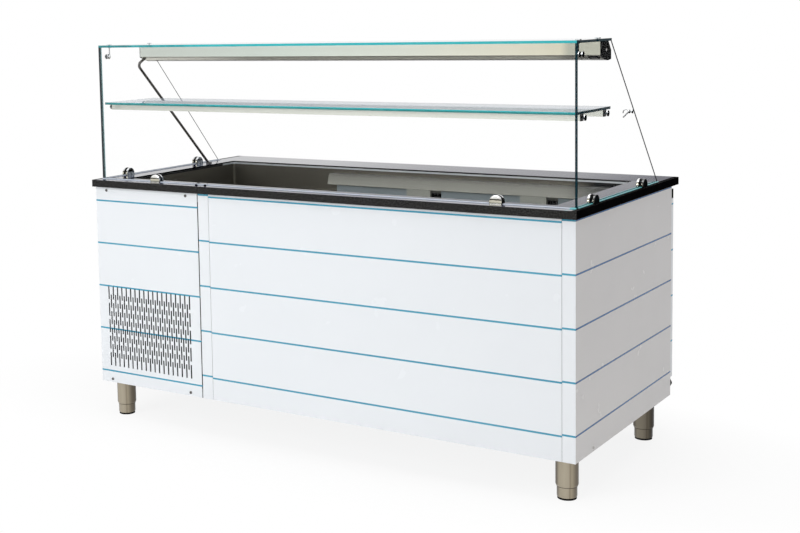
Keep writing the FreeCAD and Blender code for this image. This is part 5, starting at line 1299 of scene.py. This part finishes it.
class COUNTER_OT_screws(bpy.types.Operator):
    """Models the pan head screws with their cross recesses"""

    bl_idname = "counter.screws"
    bl_label = "Screws"

    head_shares = (
        (0.97, 0.0), (1.0, 0.1), (1.0, 0.45), (0.95, 0.72), (0.84, 0.9), (0.68, 1.0),
    )
    end_panel_share = 0.95

    def execute(self, context):
        sizes = context.scene.counter_fittings
        head, rise, shank = sizes.screw_head, sizes.screw_rise, sizes.screw_shank
        profile = [
            (shank * 0.6, -sizes.screw_length),
            (shank, shank * 0.8 - sizes.screw_length),
            (shank, 0.0),
        ] + outline(self.head_shares, head, rise)
        first = close(turned("first_screw", profile, 28), 30.0)
        carve(first, self.cross(sizes))
        # The same steel in two tones, darker on the front and paler on the end panels: painted
        # light and shade
        steel = coated("screw_steel", tone(112, 110, 108), 0.25, 0.4, 160.0, 0.05, 1.0)
        pale = coated("side_screw_steel", tone(186, 184, 182), 0.25, 0.4, 160.0, 0.05, 1.0)
        for index, (low, high) in enumerate(lumps("pan_head_screws")):
            middle = (low + high) / 2
            way = Vector((0, -1, 0))
            if abs(middle.x) > abs(CAD_BOX[0].x) * self.end_panel_share:
                way = Vector((math.copysign(1, middle.x), 0, 0))
            reach = max(abs((high - low).dot(way)) / 2 - rise, 0.0)
            piece = copied(first, "screw_%d" % index)
            stand_at(piece, middle + way * reach, way.to_track_quat("Z", "Y").to_matrix().to_4x4())
            material = steel if way.x == 0 else pale
            settle(piece, BASE, "chrome_trim", material, "pan_head_screws")
        bpy.data.objects.remove(first)
        return {"FINISHED"}

    def cross(self, sizes):
        """The cutter for a cross recess, narrower at its foot."""
        arm = sizes.cross_width
        cutter = begin("cube", "cross", size=arm, location=(0, 0, 0))
        for way in (Vector((1, 0, 0)), Vector((0, 1, 0)), Vector((-1, 0, 0)), Vector((0, -1, 0))):
            choose(
                cutter, "FACE",
                lambda face: face.normal.dot(way) > 0.9
                and middle_of(face).cross(way).length < arm / 4,
            )
            bpy.ops.mesh.extrude_region_move(
                TRANSFORM_OT_translate={"value": way * (sizes.cross_reach - arm / 2)}
            )
        bpy.ops.mesh.select_all(action="SELECT")
        bpy.ops.transform.resize(value=(1, 1, sizes.screw_rise * 1.2 / arm))
        choose(cutter, "FACE", lambda face: face.normal.z < -0.9)
        bpy.ops.transform.resize(value=(0.6, 0.6, 1))
        bpy.ops.mesh.select_all(action="SELECT")
        bpy.ops.transform.translate(value=(0, 0, sizes.screw_rise))
        return close(cutter)


class COUNTER_OT_beads(bpy.types.Operator):
    """Models the sealant at the foot of the panes and the two plugs in the front ledge"""

    bl_idname = "counter.beads"
    bl_label = "Sealant and plugs"

    plug_places = ((-0.4630, -0.422), (-0.4246, -0.422))
    dome_shares = (
        (1.0, -1.0), (1.0, 0.0), (1.7, 0.0), (1.68, 0.5), (1.5, 0.9), (1.1, 1.2), (0.5, 1.36),
    )

    def execute(self, context):
        sizes = context.scene.counter_fittings
        silicone = sealant()
        wide = sizes.bead
        for name in ("front_glass", "left_side_glass", "right_side_glass"):
            low, high, middle = span(name)
            axis = 1 if name == "front_glass" else 0
            for side, face in ((-1, low), (1, high)):
                first, last = low.copy(), high.copy()
                first[axis] = face[axis] - (wide if side < 0 else 0.0)
                last[axis] = face[axis] + (wide if side > 0 else 0.0)
                last.z = low.z + wide
                where = "inner" if side * middle[axis] < 0 else "outer"
                piece = block("%s_bead_%s" % (name, where), first, last)
                self.round_off(piece, axis, last if side > 0 else first, last.z, wide)
                settle(close(piece, 40.0), BASE, "pane_glass", silicone)
        self.plugs(sizes)
        return {"FINISHED"}

    def round_off(self, piece, axis, free, top, wide):
        """Rounds the upper long edge of a bead, on its free side."""
        choose(
            piece, "EDGE",
            lambda edge: abs(middle_of(edge)[axis] - free[axis]) < wide / 4
            and abs(middle_of(edge).z - top) < wide / 4,
        )
        bpy.ops.mesh.bevel(offset=wide * 0.8, segments=5, affect="EDGES")

    def plugs(self, sizes):
        """Low domes over the two bores in the front ledge."""
        radius = sizes.plug
        top = span("worktop")[1].z
        profile = outline(self.dome_shares, radius, radius)
        first = close(turned("first_plug", profile, 32), 30.0)
        black = coated("plug_plastic", tone(3, 3, 4), 0.4, 0.55, gloss=0.0)
        for index, (x, y) in enumerate(self.plug_places):
            piece = copied(first, "ledge_plug_%d" % index)
            stand_at(piece, Vector((x, y, top)))
            settle(piece, BASE, "black_plastic", black)
        bpy.data.objects.remove(first)


class COUNTER_OT_knob(bpy.types.Operator):
    """Models the thermostat knob with its pointer, and the marks round it"""

    bl_idname = "counter.knob"
    bl_label = "Thermostat knob"

    depth_share = 0.75
    pointer_rise_share = 0.125
    shaft_share = 0.15
    dial_share = 1.2
    mark_share = 0.035
    sides = 72
    sides_per_rib = 3
    sweep = math.radians(270.0)
    flat_to_front = Matrix(((-1, 0, 0, 0), (0, 0, 1, 0), (0, 1, 0, 0), (0, 0, 0, 1)))

    def execute(self, context):
        sizes = context.scene.counter_works
        low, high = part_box("thermostat_knob")
        radius = (high.x - low.x) / 2
        depth = radius * self.depth_share
        top = high.y - radius * self.pointer_rise_share
        shaft = radius * self.shaft_share
        foot = low.y - (top - depth)
        profile = [
            (shaft * 0.9, foot), (shaft, foot + shaft * 0.2), (shaft, 0.0),
            (radius * 0.97, 0.0), (radius, radius * 0.03), (radius, radius * 0.11),
            (radius * 0.93, radius * 0.16), (radius * 0.92, depth * 0.88), (radius * 0.86, depth),
            (radius * 0.74, depth), (radius * 0.70, depth - radius * 0.03),
        ]
        knob = turned("knob", profile, self.sides)
        step = math.tau / self.sides
        choose(
            knob, "FACE",
            lambda face: abs(face.normal.z) < 0.2
            and radius * 0.2 < middle_of(face).z < depth * 0.87
            and int(self.angle_of(face) / step) % self.sides_per_rib == 0,
        )
        bpy.ops.mesh.inset(
            thickness=sizes.rib_depth * 0.3, depth=-sizes.rib_depth, use_individual=True
        )
        close(knob, 32.0)
        half = sizes.pointer_width / 2
        pointer = bar(
            "knob_pointer", (-half, radius * 0.05, depth - radius * 0.05),
            (half, radius * 0.74, depth + radius * 0.12), half * 0.4,
        )
        centre = Vector((low.x + radius, top - depth, low.z + radius))
        black = coated("knob_plastic", tone(24, 24, 26), 0.3, 0.45)
        white = coated("pointer_white", tone(232, 232, 230), 0.35, 0.5, 500.0, 0.03)
        for piece, material in ((knob, black), (pointer, white)):
            stand_at(piece, centre, self.flat_to_front)
            settle(piece, "thermostat_knob_body", "black_plastic", material, "thermostat_knob")
        self.marks(sizes, centre, radius, white)
        return {"FINISHED"}

    def angle_of(self, face):
        """A face's angle round the knob's axis."""
        middle = middle_of(face)
        return math.atan2(middle.y, middle.x) % math.tau

    def marks(self, sizes, middle, radius, white):
        """Raised marks over three quarters of a turn, starting at the pointer's rest."""
        face = span("control_fascia")[1].y
        start = radius * self.dial_share
        thin = radius * self.mark_share
        first = bar(
            "first_mark", (-thin, 0.0, -thin), (thin, sizes.tick_length, thin * 0.4), thin * 0.3, 1
        )
        way = self.direction()
        for index in range(sizes.tick_count):
            angle = way * self.sweep * index / (sizes.tick_count - 1)
            mark = copied(first, "dial_mark_%d" % index)
            turn = Matrix.Rotation(angle, 4, "Y") @ Matrix.Translation((0, 0, start))
            stand_at(mark, Vector((middle.x, face, middle.z)), turn @ self.flat_to_front)
            settle(mark, BASE, "black_plastic", white)
        bpy.data.objects.remove(first)

    def direction(self):
        """1 or -1: which way round the Y axis the knob turns."""
        for joint in frame["joints"]:
            if "thermostat" in joint["name"]:
                return 1 if joint["axis"][1] > 0 else -1
        raise RuntimeError("The frame has no thermostat joint")


class COUNTER_OT_bezels(bpy.types.Operator):
    """Models the raised frames round the two rocker switches"""

    bl_idname = "counter.bezels"
    bl_label = "Switch frames"

    outer_half = Vector((0.0165, 0.0095))
    opening_half = Vector((0.0131, 0.0066))
    outer_rounding = 0.0006
    opening_rounding = 0.0004
    thickness = 0.0014
    overrun = 0.002
    fold_top_share = 0.724
    fold_foot_share = 0.914
    fold_depth_share = 0.351

    def execute(self, context):
        black = coated("bezel_plastic", tone(5, 5, 6), 0.4, 0.55, gloss=0.0)
        low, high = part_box("light_housing")
        deep, tall = high.y - low.y, high.z - low.z
        brow = Vector((0.0, low.y, high.z - tall * self.fold_top_share))
        chin = Vector((0.0, low.y + deep * self.fold_depth_share, 0.0))
        chin.z = high.z - tall * self.fold_foot_share
        slope = math.atan2(brow.z - chin.z, chin.y - brow.y)
        place = (brow + chin) / 2
        place.x = span("light_switch")[2].x
        turn = Matrix.Rotation(math.pi - slope, 4, "X")
        self.bezel("lamp_switch_frame", place, turn, black)
        place = span("power_switch")[2]
        place.y = span("control_fascia")[1].y
        turn = Matrix.Rotation(-math.pi / 2, 4, "X") @ Matrix.Rotation(math.pi / 2, 4, "Z")
        self.bezel("power_switch_frame", place, turn, black)
        return {"FINISHED"}

    def bezel(self, name, place, turn, material):
        """A frame at the origin, its opening cut through, then put in its place."""
        wide, tall = self.outer_half
        low, high = (-wide, -tall, 0.0), (wide, tall, self.thickness)
        ring = bar(name, low, high, self.outer_rounding, 3)
        wide, tall = self.opening_half
        low, high = (-wide, -tall, -self.overrun), (wide, tall, self.thickness + self.overrun)
        opening = bar("opening", low, high, self.opening_rounding, 1)
        carve(ring, opening)
        stand_at(ring, place, turn)
        settle(ring, BASE, "black_plastic", material)


class COUNTER_OT_fan(bpy.types.Operator):
    """Models the condenser fan with curved blades"""

    bl_idname = "counter.fan"
    bl_label = "Condenser fan"

    reach_share = 1.02
    hub_share = 0.25
    sheet_share = 0.035
    widening = 1.09
    hub_shares = (
        (1.0, -0.9), (1.0, 0.7), (0.96, 0.84), (0.86, 0.92), (0.62, 0.92), (0.58, 0.78),
        (0.25, 0.78), (0.22, 0.9), (0.16, 0.92),
    )

    def execute(self, context):
        sizes = context.scene.counter_works
        low, high, middle = span("condenser_fan")
        radius = min(high.z - middle.z, middle.x - low.x) * self.reach_share
        hub = radius * self.hub_share
        half = (high.y - low.y) / 2
        core = close(turned("fan", outline(self.hub_shares, hub, half), 48), 32.0)
        blade = self.blade(sizes, hub * 0.8, radius * 0.97, radius * 0.5)
        pieces = [core]
        for index in range(sizes.blade_count):
            twin = copied(blade, "blade_%d" % index)
            angle = math.tau * index / sizes.blade_count
            stand_at(twin, Vector(), Matrix.Rotation(angle, 4, "Z"))
            pieces.append(twin)
        bpy.data.objects.remove(blade)
        fan = joined(pieces, "fan")
        stand_at(fan, middle, Matrix.Rotation(math.pi / 2, 4, "X"))
        black = coated("fan_plastic", tone(30, 30, 32), 0.3, 0.45)
        settle(fan, "condenser_fan_body", "black_plastic", black, "condenser_fan")
        return {"FINISHED"}

    def blade(self, sizes, root, tip, wide):
        """One blade along Y, curled strip by strip about its middle, then pitched."""
        piece = begin("grid", "blade", x_subdivisions=8, y_subdivisions=6, size=1.0)
        bpy.ops.mesh.select_all(action="SELECT")
        bpy.ops.transform.resize(value=(wide, tip - root, 1))
        bpy.ops.transform.translate(value=(0, (tip + root) / 2, 0))
        for share in (0.3, 0.5, 0.7):
            level = root + (tip - root) * share
            choose(piece, "FACE", lambda face: middle_of(face).y > level)
            bpy.ops.transform.resize(
                value=(self.widening, 1, 1), center_override=(wide * 0.1, level, 0)
            )
        strip = wide / 8
        for side in SIDES:
            for index in (3, 2, 1):
                edge = strip * index
                choose(piece, "FACE", lambda face: middle_of(face).x * side > edge * 1.05)
                bpy.ops.transform.rotate(
                    value=side * sizes.blade_curl / 3, orient_axis="Y",
                    center_override=(side * edge, 0, 0),
                )
        bpy.ops.mesh.select_all(action="SELECT")
        bpy.ops.transform.rotate(
            value=sizes.blade_pitch, orient_axis="Y", center_override=(0, 0, 0)
        )
        bpy.ops.object.mode_set(mode="OBJECT")
        sheet = piece.modifiers.new("sheet", "SOLIDIFY")
        sheet.thickness = wide * self.sheet_share
        sheet.offset = 0.0
        bpy.ops.object.modifier_apply(modifier="sheet")
        bpy.ops.object.mode_set(mode="EDIT")
        return close(piece, 40.0)


class COUNTER_OT_compressor(bpy.types.Operator):
    """Models the compressor pot, its base plate, grommets and terminal cover"""

    bl_idname = "counter.compressor"
    bl_label = "Compressor"

    pot_share = 0.921
    stand_share = 0.0686
    grommet_share = 0.78
    plate_thickness = 0.003
    pot_foot = 0.004
    pot_shares = (
        (0.98, 0.03), (1.0, 0.08), (1.0, 0.5), (1.035, 0.505), (1.035, 0.53), (1.0, 0.54),
        (1.0, 0.74), (0.97, 0.81), (0.88, 0.88), (0.74, 0.94), (0.5, 0.985), (0.2, 1.0),
    )
    grommet_shares = (
        (1.0, 0.0), (1.0, 0.28), (0.72, 0.38), (0.72, 0.62), (1.0, 0.72), (1.0, 1.0),
    )

    def execute(self, context):
        low, high, middle = span("compressor")
        spread = (high.x - low.x) / 2
        radius = spread * self.pot_share
        stand = (high.z - low.z) * self.stand_share
        base = Vector((middle.x, middle.y, low.z + stand))
        tall = high.z - base.z
        profile = [(radius * 0.9, self.pot_foot)] + outline(self.pot_shares, radius, tall)
        pot = close(turned("compressor_pot", profile, 72), 25.0)
        plate = bar(
            "compressor_plate", (-spread, -spread, 0.0), (spread, spread, self.plate_thickness),
            self.plate_thickness / 3,
        )
        cover = bar(
            "terminal_cover", (-radius * 0.3, -radius * 1.07, tall * 0.25),
            (radius * 0.3, -radius * 0.85, tall * 0.48), radius * 0.05, 3,
        )
        enamel = coated("pot_enamel", tone(26, 26, 28), 0.2, 0.35, 120.0, 0.05, 0.0, 0.4)
        plastic = coated("cover_plastic", tone(44, 44, 46))
        for piece, material in ((pot, enamel), (plate, enamel), (cover, plastic)):
            stand_at(piece, base)
            settle(piece, BASE, "pot_black", material, "compressor")
        self.grommets(middle, low.z, stand, spread)
        return {"FINISHED"}

    def grommets(self, middle, floor, stand, spread):
        """Waisted rubber mounts under the corners of the plate."""
        wide = stand * self.grommet_share
        profile = outline(self.grommet_shares, wide, stand)
        first = close(turned("first_grommet", profile, 28), 40.0)
        rubber = coated("grommet_rubber", tone(22, 22, 23), 0.6, 0.8, 240.0, 0.12)
        reach = spread - wide
        for index, (x, y) in enumerate(((-1, -1), (1, -1), (-1, 1), (1, 1))):
            piece = copied(first, "grommet_%d" % index)
            stand_at(piece, Vector((middle.x + reach * x, middle.y + reach * y, floor)))
            settle(piece, BASE, "pot_black", rubber, "compressor")
        bpy.data.objects.remove(first)


class COUNTER_OT_shelves(bpy.types.Operator):
    """Models the two shelves of round wire"""

    bl_idname = "counter.shelves"
    bl_label = "Wire shelves"

    thin_share = 0.6
    stay_share = 0.9
    stay_places = (0.33, 0.67)
    corner_share = 5
    corner_parts = 4

    def execute(self, context):
        sizes = context.scene.counter_works
        steel = polished("shelf_wire", tone(205, 206, 204), 0.1, 0.22)
        for index, (low, high) in enumerate(lumps("wire_shelves")):
            shelf = self.shelf(sizes, low, high)
            shelf.name = "wire_shelf_%d" % index
            shelf.data.name = shelf.name
            settle(shelf, BASE, "stainless", steel, "wire_shelves")
        return {"FINISHED"}

    def shelf(self, sizes, low, high):
        """One shelf: a round-cornered frame, thin wires across it and two stays under them."""
        thick = sizes.wire
        thin = thick * self.thin_share
        corner = thick * self.corner_share
        x0, x1, y0, y1 = low.x + thick, high.x - thick, low.y + thick, high.y - thick
        level = low.z + thick
        ring = []
        for x, y, start in ((x1, y1, 0), (x0, y1, 90), (x0, y0, 180), (x1, y0, 270)):
            turn_x = x - corner if x == x1 else x + corner
            turn_y = y - corner if y == y1 else y + corner
            for part in range(self.corner_parts + 1):
                angle = math.radians(start + part * 90 / self.corner_parts)
                x_there = turn_x + corner * math.cos(angle)
                ring.append((x_there, turn_y + corner * math.sin(angle), level))
        pieces = [wired("frame", ring, thick, True, 12)]
        above = level + thick + thin * 0.8
        count = round((x1 - x0) / sizes.wire_pitch)
        first = wired("first_wire", [(0, y0, above), (0, y1, above)], thin, False)
        for index in range(1, count):
            twin = copied(first, "wire_%d" % index)
            stand_at(twin, Vector((x0 + (x1 - x0) * index / count, 0, 0)))
            pieces.append(twin)
        bpy.data.objects.remove(first)
        for share in self.stay_places:
            y = y0 + (y1 - y0) * share
            ends = [(x0, y, level), (x1, y, level)]
            pieces.append(wired("cross_wire", ends, thick * self.stay_share, False, 12))
        return joined(pieces, "wire_shelf")


class COUNTER_OT_stage(bpy.types.Operator):
    """Adds the floor, the lamps, the surroundings and the camera"""

    bl_idname = "counter.stage"
    bl_label = "Stage"

    lamp_places = {
        "key_lamp": ((-2.0, -5.4, 3.3), 3.2, "key_watts"),
        "top_lamp": ((0.4, -0.6, 4.2), 3.0, "top_watts"),
    }
    lamp_aim = (0.0, 0.0, 0.6)
    floor_size = 40.0
    glow_start = 1.0
    glow_shape = (1.0, 2.2, 1.0)
    camera_place = (2.35048, -4.02866, 1.42820)
    camera_turn = (35.0997, 84.2115, -1.3386)
    principal_point = (262.0, 156.0)
    photo_middle = (400.0, 266.5)

    def execute(self, context):
        stage = context.scene.counter_stage
        self.floor(stage)
        self.lamps(stage)
        self.surroundings(context, stage)
        self.camera(context, stage)
        return {"FINISHED"}

    def seen_directly(self, nodes):
        """1 for what the camera, a mirror or clear glass sees, 0 for light on the object."""
        ray = nodes.node("ShaderNodeLightPath", 0, {}, {})
        outputs = ray.socket.node.outputs
        seen = Value(nodes, outputs["Is Camera Ray"])
        for name in ("Is Glossy Ray", "Is Transmission Ray"):
            seen = seen.most(Value(nodes, outputs[name]))
        return seen

    def floor(self, stage):
        """A wide pale floor that keeps a soft shadow."""
        floor = begin("plane", "floor", size=self.floor_size, location=(0, 0, 0))
        bpy.ops.mesh.subdivide(number_cuts=3)
        bpy.ops.object.mode_set(mode="OBJECT")
        material = bpy.data.materials.new("pale_floor")
        material.use_nodes = True
        nodes = Nodes(material.node_tree)
        plain = nodes.node("ShaderNodeBsdfDiffuse", 0, {}, {"Color": tone(246, 246, 246)})
        glow = nodes.node("ShaderNodeEmission", 0, {}, {"Strength": 1.0})
        away = nodes.node(
            "ShaderNodeVectorMath", "Value", {"operation": "LENGTH"},
            {0: nodes.stretched(self.glow_shape)},
        )
        reach = away.rise(self.glow_start, stage.floor_reach)
        share = self.seen_directly(nodes) * reach.between(stage.floor_share, 1.0)
        both = nodes.node("ShaderNodeMixShader", 0, {}, {0: share, 1: plain, 2: glow})
        nodes.node("ShaderNodeOutputMaterial", None, {}, {0: both})
        floor.data.materials.append(material)

    def lamps(self, stage):
        """Large soft lamps."""
        for name, (place, size, power) in self.lamp_places.items():
            lamp = bpy.data.lights.new(name, "AREA")
            lamp.shape = "SQUARE"
            lamp.size = size
            lamp.energy = getattr(stage, power)
            holder = bpy.data.objects.new(name, lamp)
            bpy.context.scene.collection.objects.link(holder)
            holder.location = place
            aim = Vector(self.lamp_aim) - Vector(place)
            holder.rotation_euler = aim.to_track_quat("-Z", "Y").to_euler()

    def surroundings(self, context, stage):
        """Even light, with plain white behind everything."""
        world = bpy.data.worlds.new("studio")
        world.use_nodes = True
        context.scene.world = world
        nodes = Nodes(world.node_tree)
        even = nodes.node("ShaderNodeBackground", 0, {}, {0: grey(1.0), 1: stage.ambient})
        white = nodes.node("ShaderNodeBackground", 0, {}, {0: grey(1.0), 1: 1.0})
        both = nodes.node(
            "ShaderNodeMixShader", 0, {}, {0: self.seen_directly(nodes), 1: even, 2: white}
        )
        nodes.node("ShaderNodeOutputWorld", None, {}, {0: both})

    def camera(self, context, stage):
        """The camera at the photograph's viewpoint."""
        camera = bpy.data.cameras.new("camera")
        camera.sensor_fit = "HORIZONTAL"
        camera.sensor_width = 36.0
        camera.lens = stage.lens
        camera.shift_x = (self.photo_middle[0] - self.principal_point[0]) / PHOTO_WIDTH
        camera.shift_y = (self.principal_point[1] - self.photo_middle[1]) / PHOTO_WIDTH
        camera.clip_start = 0.05
        holder = bpy.data.objects.new("camera", camera)
        context.scene.collection.objects.link(holder)
        yaw, tilt, roll = (math.radians(angle) for angle in self.camera_turn)
        turn = Matrix.Rotation(yaw, 4, "Z") @ Matrix.Rotation(tilt, 4, "X")
        turn = turn @ Matrix.Rotation(roll, 4, "Z")
        holder.matrix_world = Matrix.Translation(self.camera_place) @ turn
        context.scene.camera = holder
        context.scene.view_settings.view_transform = "Standard"


# Panel and registering

OPERATORS = (
    COUNTER_OT_panels,
    COUNTER_OT_stone,
    COUNTER_OT_glass,
    COUNTER_OT_metal,
    COUNTER_OT_soft,
    COUNTER_OT_cooling,
    COUNTER_OT_feet,
    COUNTER_OT_screws,
    COUNTER_OT_beads,
    COUNTER_OT_knob,
    COUNTER_OT_bezels,
    COUNTER_OT_fan,
    COUNTER_OT_compressor,
    COUNTER_OT_shelves,
    COUNTER_OT_stage,
)
SETTINGS = {
    "counter_looks": CounterLooks,
    "counter_foot": CounterFoot,
    "counter_fittings": CounterFittings,
    "counter_works": CounterWorks,
    "counter_stage": CounterStage,
}


class COUNTER_PT_sidebar(bpy.types.Panel):
    """Lists the settings and the pieces of the counter"""

    bl_idname = "COUNTER_PT_sidebar"
    bl_label = "Salad bar counter"
    bl_space_type = "VIEW_3D"
    bl_region_type = "UI"
    bl_category = "Counter"

    def draw(self, context):
        for name, group in SETTINGS.items():
            box = self.layout.box()
            box.label(text=group.__doc__)
            for key in group.__annotations__:
                box.prop(getattr(context.scene, name), key)
        for operator in OPERATORS:
            self.layout.operator(operator.bl_idname)


def register():
    for group in SETTINGS.values():
        bpy.utils.register_class(group)
    for operator in OPERATORS:
        bpy.utils.register_class(operator)
    bpy.utils.register_class(COUNTER_PT_sidebar)
    for name, group in SETTINGS.items():
        setattr(bpy.types.Scene, name, bpy.props.PointerProperty(type=group))


def unregister():
    for name in SETTINGS:
        delattr(bpy.types.Scene, name)
    bpy.utils.unregister_class(COUNTER_PT_sidebar)
    for operator in reversed(OPERATORS):
        bpy.utils.unregister_class(operator)
    for group in reversed(SETTINGS.values()):
        bpy.utils.unregister_class(group)


def main():
    """Registers the classes and runs the operators in order."""
    register()
    for operator in OPERATORS:
        group, name = operator.bl_idname.split(".")
        getattr(getattr(bpy.ops, group), name)()


if __name__ == "__main__":
    main()
